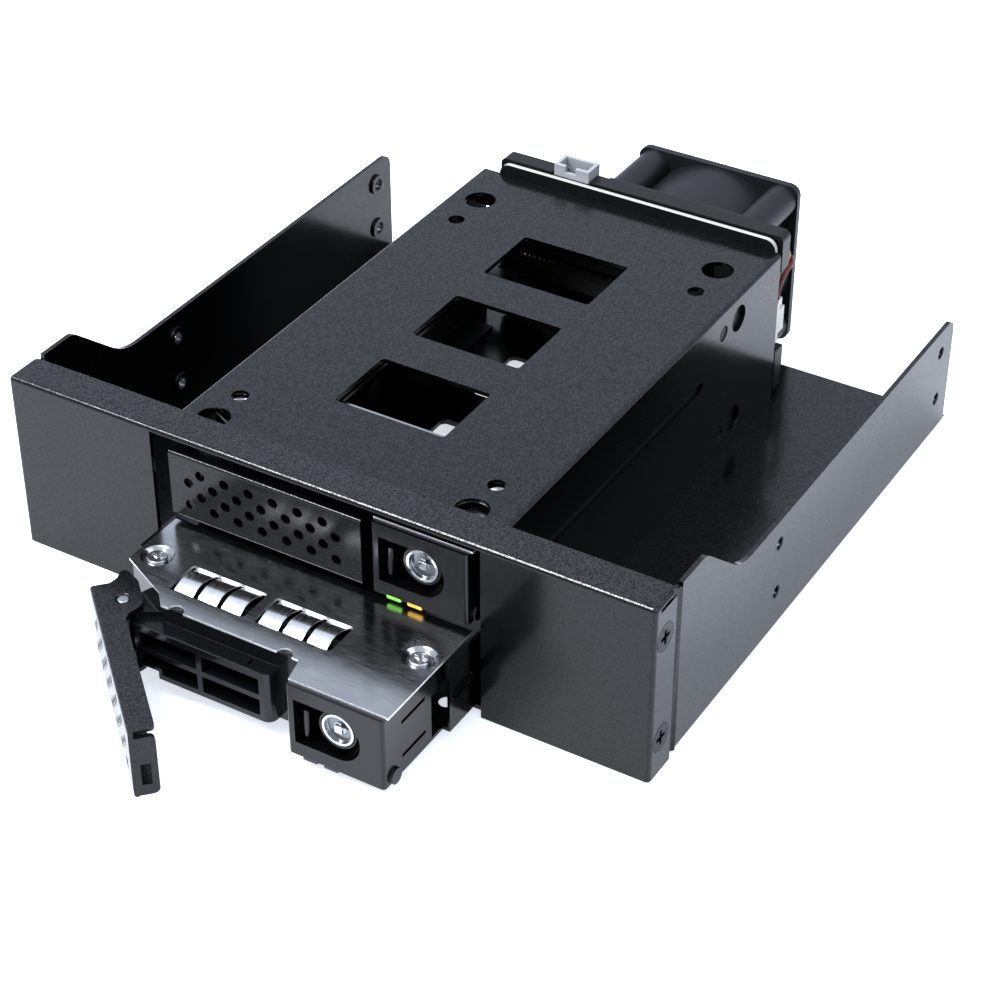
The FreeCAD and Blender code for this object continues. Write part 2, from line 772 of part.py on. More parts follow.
def socket_block(x_low, x_high, z_low, z_high, depth, wall):
    y_low = board_back
    y_high = board_back + depth
    block = slab(x_low, x_high, y_low, y_high, z_low, z_high)
    mouth = slab(x_low + wall, x_high - wall, y_high - depth * 0.6, y_high + 1, z_low + wall, z_high - wall)
    return block, mouth


def rear_sockets_left():
    return -board_screw_x + board_screw_head_radius + running_gap


def data_socket(order):
    x_low = rear_sockets_left() + order * rear_socket_pitch
    block, mouth = socket_block(x_low, x_low + 5.6, 17.5, 33.5, rear_socket_depth, 1.0)
    tongue = slab(x_low + 2.3, x_low + 3.3, board_back + 2, board_back + 7.0, 20.0, 31.0)
    key = slab(x_low + 2.3, x_low + 4.6, board_back + 2, board_back + 7.0, 20.0, 21.2)
    return fuse([cut(block, [mouth]), tongue, key])


def power_socket():
    x_low = rear_sockets_left()
    block, mouth = socket_block(x_low, x_low + 17.0, 6.0, 12.4, rear_socket_depth, 1.0)
    tongue = slab(x_low + 2.2, x_low + 14.8, board_back + 2, board_back + 7.0, 8.7, 9.7)
    return fuse([cut(block, [mouth]), tongue])


def top_header():
    # the grey header that stands up behind the board, with a notch in its top edge
    x_low = -19.8
    x_high = -11.0
    base = slab(x_low, x_high, board_back, board_back + 5.2, 36.6, rear_frame_top + 0.2)
    shroud = slab(x_low, x_high, board_back, board_back + 5.2, rear_frame_top, rear_frame_top + 2.2)
    well = slab(x_low + 0.9, x_high - 0.9, board_back + 0.9, board_back + 4.3, rear_frame_top - 3.0, rear_frame_top + 3)
    notch = slab(x_low + 2.8, x_low + 5.4, board_back - 1, board_back + 1.2, rear_frame_top + 0.6, rear_frame_top + 3)
    return cut(fuse([base, shroud]), [well, notch])


def capacitors():
    cans = []
    for x, z, radius, length in ((-24.0, 37.6, 1.6, 2.0), (27.0, 5.6, 1.5, 2.0)):
        can = rod(x, board_back, z, radius, length, along_y)
        cans.append(can)
    return Part.makeCompound(cans)


def fan_header():
    # a shrouded pin header with three pins
    y_high = board_back + fan_header_depth
    x_low = fan_plug_x[0] - 0.2
    x_high = fan_plug_x[1] + 0.2
    base = slab(x_low, x_high, board_back, y_high, fan_plug_z[0] - 0.6, fan_plug_z[1] + 0.6)
    guide = slab(x_high - 0.8, x_high, y_high - 0.5, y_high + 2.6, fan_plug_z[0] + 1.5, fan_plug_z[1] - 1.5)
    return fuse([base, guide])


def fan_plug():
    y_low = board_back + fan_header_depth
    body = slab(fan_plug_x[0], fan_plug_x[1] - 0.7, y_low, y_low + 3.2, fan_plug_z[0], fan_plug_z[1])
    tools = []
    for order in range(3):
        z = fan_plug_z[0] + 1.8 + order * 2.54
        tools.append(slab(fan_plug_x[0] + 0.9, fan_plug_x[0] + 2.1, y_low + 2.4, y_low + 4, z - 0.6, z + 0.6))
    return cut(body, tools)


def cord(points, radius, bend_radius):
    # straight round runs joined by tangent arcs
    shapes = []
    here = points[0]
    for before, corner, after in zip(points, points[1:], points[2:]):
        back = (before - corner).normalize()
        ahead = (after - corner).normalize()
        turn = math.pi - back.getAngle(ahead)
        trim = bend_radius * math.tan(turn / 2)
        start = corner + back * trim
        end = corner + ahead * trim
        inward = (back + ahead).normalize()
        centre = corner + inward * (bend_radius / math.cos(turn / 2))
        axis = (start - centre).cross(back * -1)
        disc = Part.Face(Part.Wire(Part.Circle(start, back, radius).toShape()))
        shapes.append(disc.revolve(centre, axis, math.degrees(turn)))
        shapes.append(Part.makeCylinder(radius, (start - here).Length, here, start - here))
        here = end
    shapes.append(Part.makeCylinder(radius, (points[-1] - here).Length, here, points[-1] - here))
    return fuse(shapes)


def fan_wire(order):
    # the wires leave the fan's right side near its rear and bend down into the plug
    plug_top = fan_plug_z[1]
    x_plug = fan_plug_x[0] + 0.7 + order * fan_wire_pitch
    y_plug = board_back + 4.6
    y_fan = fan_front + fan_depth - 8.0
    z_fan = fan_z + 11.0 - order * 1.5
    points = [
        Vector(fan_x + fan_duct_radius + fan_duct_wall - 2.2 + 0.8 * order, y_fan, z_fan - 1.0),
        Vector(x_plug, y_fan - 1.0, z_fan),
        Vector(x_plug, y_plug, plug_top + 5.0),
        Vector(x_plug, y_plug, plug_top + joint_gap),
    ]
    return cord(points, fan_wire_radius, 1.6)


# trays, modelled with y = 0 at the cover plate's front edge and z = 0 at the tray's underside
def drive_holes_y():
    return (drive_end_y - drive_hole_second, drive_end_y - drive_hole_first)


def moulding_front_y(x_out):
    # the moulding's slanted front face, set back from the cover plate's edge by its overhang
    slope = (chamfer_end_y - chamfer_start_y) / (front_half - chamfer_start_x)
    lift = cover_overhang * math.hypot(1, slope)
    return chamfer_start_y + lift + (x_out - chamfer_start_x) * slope


def tray_frame():
    side = [
        (tray_frame_y, 0),
        (tray_end_y, 0),
        (tray_end_y, tray_low_wall),
        (tray_high_wall_end + 6.0, tray_low_wall),
        (tray_high_wall_end, mould_top),
        (tray_frame_y, mould_top),
    ]
    parts = []
    tools = []
    inner = tray_half - tray_sheet
    wall = upright_plate(side, inner, tray_sheet)
    rail = slab(tray_half - tray_rail_width, tray_half, tray_frame_y, tray_end_y, 0, tray_rail_thickness)
    rail_inner = tray_half - tray_rail_width
    left_front_rail = flat_plate([
        (-mould_half, moulding_front_y(mould_half)),
        (-rail_inner, moulding_front_y(rail_inner)),
        (-rail_inner, tray_frame_y),
        (-mould_half, tray_frame_y),
    ], 0, tray_rail_thickness)
    right_front_rail = slab(rail_inner, mould_half, front_rail_y, tray_frame_y, 0, tray_rail_thickness)
    parts.extend([wall, mirrored(wall), rail, mirrored(rail), left_front_rail, right_front_rail])
    reach = tray_half - tray_rail_width + 1
    parts.append(slab(-reach, reach, 16.0, 24.0, 0, tray_rail_thickness))
    parts.append(slab(-reach, reach, tray_end_y - 9.0, tray_end_y - 3.0, 0, tray_rail_thickness))
    ovals = [front_oval, (drive_holes_y()[1],) + rear_oval]
    for y, z, length, height in ovals:
        oval = obround(y, z, length, height, inner - 1, 3)
        tools.extend([oval, mirrored(oval)])
    for y in drive_holes_y():
        for x in (-drive_hole_x, drive_hole_x):
            tools.append(rod(x, y, -1, 1.6, 4))
            tools.append(cone(x, y, -0.01, 2.2, 1.6, 0.6))
    for x in (-tray_screw_x, tray_screw_x):
        tools.append(rod(x, tray_screw_y, -1, tray_screw_radius + joint_gap, 4))
        head_depth = tray_screw_head_depth + joint_gap
        tools.append(rod(x, tray_screw_y, -1, tray_screw_head_radius + joint_gap, 1 + head_depth))
    for x in (-drive_hole_x, drive_hole_x):
        slot = rounded_window(x, (drive_holes_y()[0] + drive_holes_y()[1]) / 2, 3.0, 40.0, -1, 4, 1.4)
        tools.append(slot)
    tools.append(rounded_window(0, 20.0, 30.0, 3.4, -1, 4, 1.6))
    return cut(fuse(parts), tools)


def tray_screws():
    screws = []
    for x in (-tray_screw_x, tray_screw_x):
        shank = rod(x, tray_screw_y, 0, tray_screw_radius, 5.0)
        head = rod(x, tray_screw_y, 0, tray_screw_head_radius, tray_screw_head_depth)
        slot = slab(x - 0.9, x + 0.9, tray_screw_y - 0.15, tray_screw_y + 0.15, -1, 0.2)
        screws.append(cut(shank.fuse(head), [slot]))
    return Part.makeCompound(screws)


def cover_plate():
    step = cover_step_y
    outline = [
        (cover_notch_right, 0),
        (front_half, 0),
        (front_half, cover_depth),
        (-front_half, cover_depth),
        (-front_half, chamfer_end_y),
        (-chamfer_start_x, chamfer_start_y),
        (-cover_corner_x, step),
    ]
    for x in cover_scallops:
        half = cover_scallop_radius
        outline.append((x - half, step))
        outline.append(((x, step + half), (x + half, step)))
    outline += [(cover_notch_left - 0.4, step), (cover_notch_left, cover_notch_depth)]
    body = flat_plate(outline, mould_top, cover_thickness)
    tools = []
    for x_low, x_high in finger_windows:
        width = x_high - x_low
        y_mid = sum(finger_window_y) / 2
        length = finger_window_y[1] - finger_window_y[0]
        tools.append(rounded_window(x_low + width / 2, y_mid, width, length, mould_top - 1, 3, 0.6))
    for x in (-cover_screw_x, cover_screw_x):
        tools.append(rod(x, cover_screw_y, mould_top - 1, cover_dish_radius, 3))
    body = cut(body, tools)
    dishes = [screw_dish(x) for x in (-cover_screw_x, cover_screw_x)]
    return fuse([body] + dishes)


def screw_dish(x):
    # a pressed dish round the screw: rim level with the plate, seat lower
    rim = cover_dish_radius + 0.2
    seat = rim - 1.1
    top = mould_top + cover_thickness
    low = top - cover_dish_depth
    bore = cover_screw_radius + 0.1
    points = [
        (bore, low),
        (seat, low),
        (rim - 0.2, top),
        (rim, top),
        (rim, mould_top),
        (rim - 0.3, mould_top),
        (seat + 0.1, low - cover_thickness),
        (bore, low - cover_thickness),
    ]
    corners = [Vector(r, 0, z) for r, z in points]
    face = Part.Face(Part.makePolygon(corners + [corners[0]]))
    dish = face.revolve(Vector(0, 0, 0), along_z, 360)
    dish.translate(Vector(x, cover_screw_y, 0))
    return dish


def shield_fingers():
    # one spring strip under the plate with three raised arches in each window
    y_low, y_high = finger_window_y
    base_top = mould_top
    edge = finger_strip_edge
    base = slab(finger_windows[0][0] - edge, finger_windows[1][1] + edge, y_low - 1.0, y_high + 1.4,
                base_top - finger_thickness, base_top)
    tools = [slab(a, b, y_low, y_high, base_top - 1, base_top + 1) for a, b in finger_windows]
    strip = cut(base, tools)
    arches = []
    rise = cover_thickness + finger_rise
    for x_low, x_high in finger_windows:
        width = (x_high - x_low - 4 * finger_slot) / 3
        for index in range(3):
            x = x_low + finger_slot + index * (width + finger_slot)
            arches.append(finger_arch(x, width, y_low, y_high, base_top, rise))
    return fuse([strip] + arches)


def finger_arch(x, width, y_low, y_high, base_top, rise):
    middle = (y_low + y_high) / 2
    thickness = finger_thickness
    points = [
        (y_low - 0.5, base_top - thickness),
        (y_low + 0.5, base_top - thickness),
        ((middle, base_top + rise - thickness), (y_high - 0.5, base_top - thickness)),
        (y_high + 0.5, base_top - thickness),
        (y_high + 0.5, base_top),
        (y_high - 0.3, base_top),
        ((middle, base_top + rise), (y_low + 0.3, base_top)),
        (y_low - 0.5, base_top),
    ]
    return upright_plate(points, x, width)


def cover_screws():
    seat = mould_top + cover_thickness - cover_dish_depth
    top = seat + cover_screw_head_height
    screws = []
    for x in (-cover_screw_x, cover_screw_x):
        shank = rod(x, cover_screw_y, seat - 4.5, cover_screw_radius - 0.05, 4.5)
        head = rod(x, cover_screw_y, seat, cover_screw_head_radius, cover_screw_head_height)
        head = head.makeFillet(0.3, [edge for edge in head.Edges if edge.Closed and edge.CenterOfMass.z > top - 0.1])
        recess = cross_recess(x, cover_screw_y, top, 1.4, 0.5, "z")
        screws.append(cut(shank.fuse(head), [recess]))
    return Part.makeCompound(screws)


def finger_pocket():
    # room for the spring strip, sunk into the top of the mouldings
    y_low, y_high = finger_window_y
    edge = finger_strip_edge + running_gap
    return slab(finger_windows[0][0] - edge, finger_windows[1][1] + edge, y_low - 1.15, y_high + 2.0,
                mould_top - 0.6, mould_top + 1)


def front_moulding():
    lift = cover_overhang / 2
    body_outline = [
        (-mould_half, moulding_front_y(mould_half)),
        (-chamfer_start_x + lift, moulding_front_y(chamfer_start_x - lift)),
        (-cover_corner_x + lift, mould_front),
        (lock_joint_x, mould_front),
        (lock_joint_x, moulding_rear),
        (-moulding_arm_x, moulding_rear),
        (-moulding_arm_x, moulding_end_y),
        (-mould_half, moulding_end_y),
    ]
    body = flat_plate(body_outline, 0, mould_top)
    arm_clear = slab(-front_half - 1, -moulding_arm_x + 1, moulding_rear, moulding_end_y + 1, -1, drive_headroom)
    rail_clear = slab(-front_half - 1, -tray_half + tray_rail_width, 0, moulding_end_y + 1, -1, tray_rail_thickness)
    tools = [arm_clear, rail_clear, finger_pocket()]
    # moulded from behind as two thin walled pockets
    wall = moulding_wall
    middle = (lock_joint_x - cover_corner_x) / 2
    for x_low, x_high in ((-cover_corner_x, middle - wall / 2), (middle + wall / 2, lock_joint_x - wall)):
        tools.append(slab(x_low, x_high, 13.2, moulding_rear + 1, wall, mould_top - wall))
    tools.append(rod(-cover_screw_x, cover_screw_y, mould_top - 6, cover_screw_radius, 7))
    tools.append(rod(-cover_screw_x, cover_screw_y, mould_top - 1.2, cover_dish_radius + 0.5, 3))
    tools.append(rod(-tray_screw_x, tray_screw_y, -1, tray_screw_radius + joint_gap, 6.5))
    lug = rod(pin_x, pin_y, sheet + running_gap, lug_radius, lever_height - 2 * sheet - 2 * running_gap)
    neck = flat_plate([
        (pin_x - 0.6, pin_y + 1.0),
        (pin_x + 2.9, pin_y - 1.0),
        (pin_x + 8.2, mould_front + 1.0),
        (pin_x + 2.0, pin_y + 8.5),
    ], sheet + running_gap, lever_height - 2 * sheet - 2 * running_gap)
    body = fuse([cut(body, tools), grid_box(), lug, neck])
    pin_hole = rod(pin_x, pin_y, 0, pin_radius + 0.02, mould_top)
    # the lever's two flanges swing above and below this moulding's nose
    return fuse([cut(body, grid_pockets() + [pin_hole]), grid_sill()])


def grid_box():
    # the box that shows behind the lever, with a lip along its top and a stepped lower corner
    rear = chamfer_end_y - 3.0
    box = slab(grid_left, grid_right, grid_front, rear, grid_low, grid_high)
    box = box.makeFillet(grid_corner, edges_along(box, along_z, lambda p: p.x > 0 and p.y < 3))
    lip = slab(grid_left, grid_right, grid_front, rear, grid_high - 0.1, grid_high + grid_lip_height)
    lip = lip.makeFillet(grid_corner, edges_along(lip, along_z, lambda p: p.x > 0 and p.y < 3))
    inner = slab(grid_left - 1, grid_right - grid_lip_width, grid_front + grid_lip_width, rear + 1, grid_high - 1,
                 grid_high + 1)
    inner = inner.makeFillet(grid_corner - grid_lip_width, edges_along(inner, along_z, lambda p: p.x > 0 and p.y < 5))
    notch = slab(grid_left - 1, grid_notch_x, grid_front - 1, rear + 1, grid_low - 1, grid_notch_z)
    slot = slab(0.7, 1.2, mould_front - 2.4, mould_front - 0.2, grid_high - grid_wall - 1, grid_high + 1)
    return cut(fuse([box, cut(lip, [inner])]), [notch, slot])


def grid_sill():
    # closes the lower left pocket round the stepped corner
    wall = 0.8
    rear = chamfer_end_y - 3.0
    sill = slab(grid_left + 0.2, grid_notch_x + wall, grid_front, rear, grid_notch_z, grid_notch_z + wall)
    side = slab(grid_notch_x, grid_notch_x + wall, grid_front, rear, grid_low + 0.2, grid_notch_z + wall)
    return fuse([sill, side])


def grid_pockets():
    x_first = grid_left + grid_wall
    x_last = grid_right - grid_right_wall
    mid_x = (x_first + x_last) / 2
    mid_z = (grid_low + grid_high) / 2
    half = grid_wall / 2
    pockets = []
    for x_low, x_high in ((x_first, mid_x - half), (mid_x + half, x_last)):
        for z_low, z_high in ((grid_low + grid_wall, mid_z - half), (mid_z + half, grid_high - grid_wall)):
            pockets.append(slab(x_low, x_high, 0, 11.5, z_low, z_high))
    return pockets


def lock_housing():
    body = slab(lock_left, mould_half, -lock_nose, moulding_end_y, 0, mould_top)
    body = body.makeFillet(0.8, edges_along(body, along_z, lambda p: p.y < 1))
    wing = slab(lock_joint_x + joint_gap, lock_left + 0.5, mould_front, moulding_rear, 0, mould_top)
    foot = rod(mould_half - 1, foot_place[0], foot_place[1], foot_radius, 1 + foot_stand, along_x)
    foot = cut(foot, [slab(mould_half - 2, mould_half, 0, 5, -2, 0)])
    body = fuse([body, wing, foot])
    recess_radius = (recess_high - recess_low) / 2
    recess_mid_z = recess_low + recess_radius
    curve_x = recess_right - recess_radius
    recess = cross_plate([
        (recess_left, recess_low),
        (curve_x, recess_low),
        ((recess_right, recess_mid_z), (curve_x, recess_high)),
        (recess_left, recess_high),
    ], -lock_nose - 1, recess_depth + lock_nose + 1)
    body = cut(body, [recess])
    # a boss round the key cylinder stands in the recess
    boss = rod(key_x, key_step - lock_nose + 0.1, key_z, key_radius + key_boss_wall, recess_depth + lock_nose, along_y)
    body = fuse([body, boss, spring_stop()])
    tools = [
        rod(key_x, -lock_nose - 1, key_z, key_radius + 0.2, key_depth + lock_nose + 1, along_y),
        slab(lock_left - 1, recess_left + 0.1, catch_low_y, catch_high_y, catch_slot_z[0], catch_slot_z[1]),
        slab(lock_left, moulding_arm_x + 1, moulding_rear, moulding_end_y + 1, -1, mould_top + 1),
        slab(lock_left, front_half + 1, moulding_rear, moulding_end_y + 1, -1, drive_headroom),
        slab(tray_half - tray_rail_width, front_half + 1, front_rail_y - joint_gap, moulding_end_y + 1, -1,
             tray_rail_thickness),
        finger_pocket(),
        rod(cover_screw_x, cover_screw_y, mould_top - 6, cover_screw_radius, 7),
        rod(cover_screw_x, cover_screw_y, mould_top - 1.2, cover_dish_radius + 0.5, 3),
        rod(tray_screw_x, tray_screw_y, -1, tray_screw_radius + joint_gap, 6.5),
    ]
    # two thin grip slots in the right side
    for z in grip_slots_z:
        tools.append(slab(mould_half - 0.9, mould_half + 1, grip_slots_y[0], grip_slots_y[1], z, z + grip_slot_height))
    half = light_pipe_width / 2 + joint_gap
    for x in light_pipes_x:
        tools.append(slab(x - half, x + half, -lock_nose - 1, light_pipe_head_end + joint_gap, -1,
                          light_pipe_head_top + joint_gap))
        tools.append(slab(x - half, x + half, light_pipe_head_end - 1.8 - joint_gap, light_pipe_length + joint_gap, -1,
                          light_pipe_top + joint_gap))
    return cut(body, tools)


def release_latch():
    # finger rib, sliding plate and the tongue that enters the slot in the lever's end
    rib = slab(latch_rib_x, latch_rib_x + latch_rib_width, 0, latch_plate_y[1], latch_rib_z[0], latch_rib_z[1])
    rib = rib.makeFillet(0.4, edges_along(rib, along_z, lambda p: p.y < 2))
    plate_low = recess_low + running_gap
    plate_high = recess_high - running_gap
    back = slab(recess_left + running_gap, latch_plate_right, latch_plate_y[0], latch_plate_y[1], plate_low, plate_high)
    gap = running_gap / 2 + 0.2
    tongue = slab(lock_left + 0.1, latch_rib_x + 0.5, catch_low_y + gap, catch_high_y - gap,
                  plate_low, catch_slot_z[1] - 0.6)
    heel = slab(latch_plate_right - 1.2, latch_plate_right, latch_plate_y[0], recess_depth - running_gap,
                latch_heel_z[0], latch_heel_z[1])
    return fuse([rib, back, tongue, heel])


def latch_spring():
    # a folded leaf between the latch's heel and a stop in the recess
    start = latch_plate_right + joint_gap
    step = spring_length / spring_folds
    middle = sum(spring_y) / 2
    line = [(start, middle)]
    for index in range(spring_folds - 1):
        line.append((start + (index + 1) * step, spring_y[index % 2]))
    line.append((start + spring_length, middle))
    outline = line + [(x, y + spring_sheet) for x, y in reversed(line)]
    return flat_plate(outline, latch_heel_z[0] + 0.3, latch_heel_z[1] - latch_heel_z[0] - 0.6)


def spring_stop():
    start = latch_plate_right + spring_length + 2 * joint_gap
    return slab(start, start + 1.2, spring_y[0] - 0.3, recess_depth + 0.5, recess_low - 0.2, latch_heel_z[1] + 0.2)


def key_cylinder():
    # plated barrel with a shallow bowl, a square post and a deeper wedge beside it
    bowl_radius = key_radius - key_rim
    floor = key_front + key_bowl_depth
    barrel = rod(key_x, key_front, key_z, key_radius, key_depth - 0.2 - key_front, along_y)
    bowl = rod(key_x, key_front - 1, key_z, bowl_radius, key_bowl_depth + 1, along_y)
    corner = slab(key_x + 0.2, key_x + bowl_radius, key_front - 1, floor + 0.9, key_z + 0.2, key_z + bowl_radius)
    wedge = corner.common(rod(key_x, key_front - 1, key_z, bowl_radius, 4, along_y))
    half = key_post / 2
    post = slab(key_x - half, key_x + half, key_front + 0.15, floor + 1.4, key_z - half, key_z + half)
    return fuse([cut(barrel, [bowl, wedge]), post])


def light_pipe(x):
    half = light_pipe_width / 2
    face = 0.15 - lock_nose
    head = slab(x - half, x + half, face, light_pipe_head_end, -light_pipe_drop, light_pipe_head_top)
    head = head.makeFillet(0.3, edges_along(head, along_y, lambda p: p.z < 0))
    run = slab(x - half, x + half, light_pipe_head_end - 1.8, light_pipe_length, 0.05, light_pipe_top)
    return fuse([head, run])


def lever_flange(z_low, end):
    # flange outline about the pin: heel, long straight arm, ear and tooth
    inner = -lever_outer + lever_depth
    ear = lever_ear
    outline = [
        (-lever_heel, -lever_outer),
        (end, -lever_outer),
        (end, inner - 0.8),
        ((end - 0.25, inner - 0.25), (end - 0.8, inner)),
        (7.4, inner),
        ((5.2, inner + 0.55), (4.0, inner + 1.9)),
        ((2.9, ear - 0.75), (1.0, ear - 0.1)),
        (-3.6, ear),
        ((-5.0, ear - 0.1), (-6.2, ear - 0.6)),
        (-lever_tooth + 0.9, ear - 1.2),
        ((-lever_tooth, 1.4), (-lever_tooth + 0.7, 0.6)),
        (-6.7, -0.1),
        (-lever_heel, -1.7),
    ]
    return flat_plate(outline, z_low, sheet)


def lever():
    # a channel folded from one sheet, its web perforated, its far end folded in with a slot
    top = lever_height - sheet
    end = lever_end
    shapes = [lever_flange(0, end - sheet - lever_end_gap), lever_flange(top, end - sheet)]
    shapes.append(slab(-lever_heel, end, -lever_outer, -lever_outer + sheet, 0, lever_height))
    tab = slab(end - sheet, end, -lever_outer, -lever_outer + lever_tab_depth, lever_tab_z[0], lever_tab_z[1])
    tab = tab.makeFillet(lever_tab_corner, edges_along(tab, along_x, lambda p: p.y > -lever_outer + 1))
    shapes.append(tab)
    body = fuse(shapes)
    body = body.makeFillet(bend * 0.7, edges_along(body, along_x, lambda p: abs(p.y + lever_outer) < 0.01))
    tools = []
    for row, count in enumerate(vent_rows):
        z = lever_height - vent_top - row * vent_row_pitch
        first = vent_first if count == max(vent_rows) else vent_first + vent_pitch / 2
        for index in range(count):
            x = -lever_heel + first + index * vent_pitch
            tools.append(rod(x, -lever_outer - 1, z, vent_radius, sheet + 2, along_y))
    bore = pin_radius + joint_gap
    tools.append(rod(0, 0, -1, bore, lever_height + 2))
    tools.append(cone(0, 0, 0, bore + pin_sink, bore, pin_sink))
    tools.append(cone(0, 0, lever_height - pin_sink, bore, bore + pin_sink, pin_sink))
    slot_low = catch_slot_y[0] - lever_outer
    slot_high = catch_slot_y[1] - lever_outer
    tools.append(slab(end - 2, end + 1, slot_low, slot_high, catch_slot_z[0], catch_slot_z[1]))
    body = cut(body, tools)
    body.translate(Vector(pin_x, pin_y, 0))
    return body


def lever_pin():
    pin = rod(pin_x, pin_y, 0, pin_radius, lever_height)
    return pin.makeFillet(pin_end_round, [edge for edge in pin.Edges if edge.Closed])


def tray_pieces():
    return {
        "tray_frame": tray_frame(),
        "tray_screws": tray_screws(),
        "front_moulding": front_moulding(),
        "cover_plate": cover_plate(),
        "cover_screws": cover_screws(),
        "shield_fingers": shield_fingers(),
        "lock_housing": lock_housing(),
        "release_latch": release_latch(),
        "latch_spring": latch_spring(),
        "key_cylinder": key_cylinder(),
        "green_light_pipe": light_pipe(light_pipes_x[0]),
        "amber_light_pipe": light_pipe(light_pipes_x[1]),
        "lever_pin": lever_pin(),
        "lever": lever(),
    }


def place_tray(name, level, pull, lever_angle):
    placed = {}
    for part, shape in tray_pieces().items():
        copy = shape.copy()
        if part == "lever":
            copy.rotate(Vector(pin_x, pin_y, 0), along_z, -lever_angle)
        copy.translate(Vector(0, tray_home_y - pull, level))
        placed[name + "_" + part] = copy
    return placed


def all_pieces():
    left_rail = mirrored(guide_rail(left_wall_front + 2.0, left_wall_front + 2.0))
    pieces = {
        "mounting_bracket": mounting_bracket(),
        "front_panel": front_panel(),
        "panel_screws": panel_screws(),
        "cage_cover": cage_cover(),
        "left_guide_rail": left_rail,
        "right_guide_rail": guide_rail(left_wall_front + 2.0, right_wall_front + 0.5),
        "backplane_board": backplane_board(),
        "board_screws": board_screws(),
        "lower_drive_socket": drive_socket(lower_level),
        "upper_drive_socket": drive_socket(upper_level),
        "rear_frame": rear_frame(),
        "first_data_socket": data_socket(0),
        "second_data_socket": data_socket(1),
        "power_socket": power_socket(),
        "top_header": top_header(),
        "capacitors": capacitors(),
        "fan_header": fan_header(),
        "fan_plug": fan_plug(),
        "black_fan_wire": fan_wire(0),
        "yellow_fan_wire": fan_wire(1),
        "red_fan_wire": fan_wire(2),
        "fan_frame": fan_frame(),
        "fan_rotor": fan_rotor(),
        "fan_screws": fan_screws(),
    }
    pieces.update(place_tray("lower", lower_level, lower_tray_pull, lever_open_angle))
    pieces.update(place_tray("upper", upper_level, 0, 0))
    return pieces


def write_parts():
    os.makedirs("parts", exist_ok=True)
    for name, shape in all_pieces().items():
        shape.translate(Vector(0, -origin_y, 0))
        shape.exportStep("parts/" + name + ".step")


write_parts()
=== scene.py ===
import math
import bmesh
import bpy
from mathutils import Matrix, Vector


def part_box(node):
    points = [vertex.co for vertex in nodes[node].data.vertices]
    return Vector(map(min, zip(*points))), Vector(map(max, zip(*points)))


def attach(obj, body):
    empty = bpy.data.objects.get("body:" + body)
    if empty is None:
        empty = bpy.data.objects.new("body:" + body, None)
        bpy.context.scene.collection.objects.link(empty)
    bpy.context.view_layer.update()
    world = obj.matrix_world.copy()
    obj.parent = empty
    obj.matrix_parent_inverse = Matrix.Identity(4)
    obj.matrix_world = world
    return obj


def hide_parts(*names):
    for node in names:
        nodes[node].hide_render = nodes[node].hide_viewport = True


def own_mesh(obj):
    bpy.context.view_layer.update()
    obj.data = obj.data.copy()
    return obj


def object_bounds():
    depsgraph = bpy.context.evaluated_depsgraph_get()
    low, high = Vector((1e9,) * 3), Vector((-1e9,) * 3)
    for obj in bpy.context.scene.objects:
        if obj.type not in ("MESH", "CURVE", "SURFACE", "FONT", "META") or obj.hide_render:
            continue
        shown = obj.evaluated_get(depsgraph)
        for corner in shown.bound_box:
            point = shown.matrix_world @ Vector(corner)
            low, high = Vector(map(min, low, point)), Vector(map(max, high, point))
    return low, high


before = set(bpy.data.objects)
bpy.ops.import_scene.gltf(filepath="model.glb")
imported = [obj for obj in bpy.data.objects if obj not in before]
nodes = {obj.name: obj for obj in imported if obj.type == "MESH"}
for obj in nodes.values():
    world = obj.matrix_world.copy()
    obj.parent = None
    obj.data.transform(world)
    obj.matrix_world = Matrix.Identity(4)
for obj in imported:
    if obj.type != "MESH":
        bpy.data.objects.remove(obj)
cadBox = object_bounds()
scene = bpy.context.scene
mm = 0.001
originY = 91.625    # the row frame's y = 0, measured from the front panel's face


def place(x, y, z):
    # a point in millimetres behind the panel's face, as metres in the row frame
    return Vector((x * mm, (y - originY) * mm, z * mm))


# colours and nodes
resinIor = 1.5    # powder coat, moulded plastic and board laminate alike
wholeSpan = (0.0, 1.0)
noiseSpan = (0.3, 0.7)    # where most values of a noise lie
faceLimit = 0.6    # the share of a normal along an axis above which its face counts as facing it


def toLinear(hexText):
    parts = [int(hexText[i:i + 2], 16) / 255 for i in (1, 3, 5)]
    return tuple(v / 12.92 if v <= 0.04045 else ((v + 0.055) / 1.055) ** 2.4 for v in parts) + (1.0,)


def addNode(tree, kind, settings):
    # each setting is an option of the node, or a socket's value or the output that feeds it
    node = tree.nodes.new(kind)
    for name, value in settings.items():
        if isinstance(name, str) and name not in node.inputs:
            setattr(node, name, value)
        elif isinstance(value, bpy.types.NodeSocket):
            tree.links.new(value, node.inputs[name])
        else:
            node.inputs[name].default_value = value
    return node


def startMaterial(name, settings):
    material = bpy.data.materials.new(name)
    material.use_nodes = True
    tree = material.node_tree
    shader = tree.nodes["Principled BSDF"]
    for key, value in settings.items():
        shader.inputs[key].default_value = value
    spot = addNode(tree, "ShaderNodeTexCoord", {}).outputs["Object"]
    return material, tree, shader, spot


def rampBetween(tree, noise, low, high):
    ramp = addNode(tree, "ShaderNodeValToRGB", {"Fac": noise})
    for i, colour in enumerate((low, high)):
        ramp.color_ramp.elements[i].position = noiseSpan[i]
        ramp.color_ramp.elements[i].color = toLinear(colour)
    return ramp.outputs["Color"]


def valueBetween(tree, factor, low, high, span=noiseSpan):
    spread = addNode(tree, "ShaderNodeMapRange", {"Value": factor, "From Min": span[0], "From Max": span[1],
                                                  "To Min": low, "To Max": high})
    return spread.outputs["Result"]


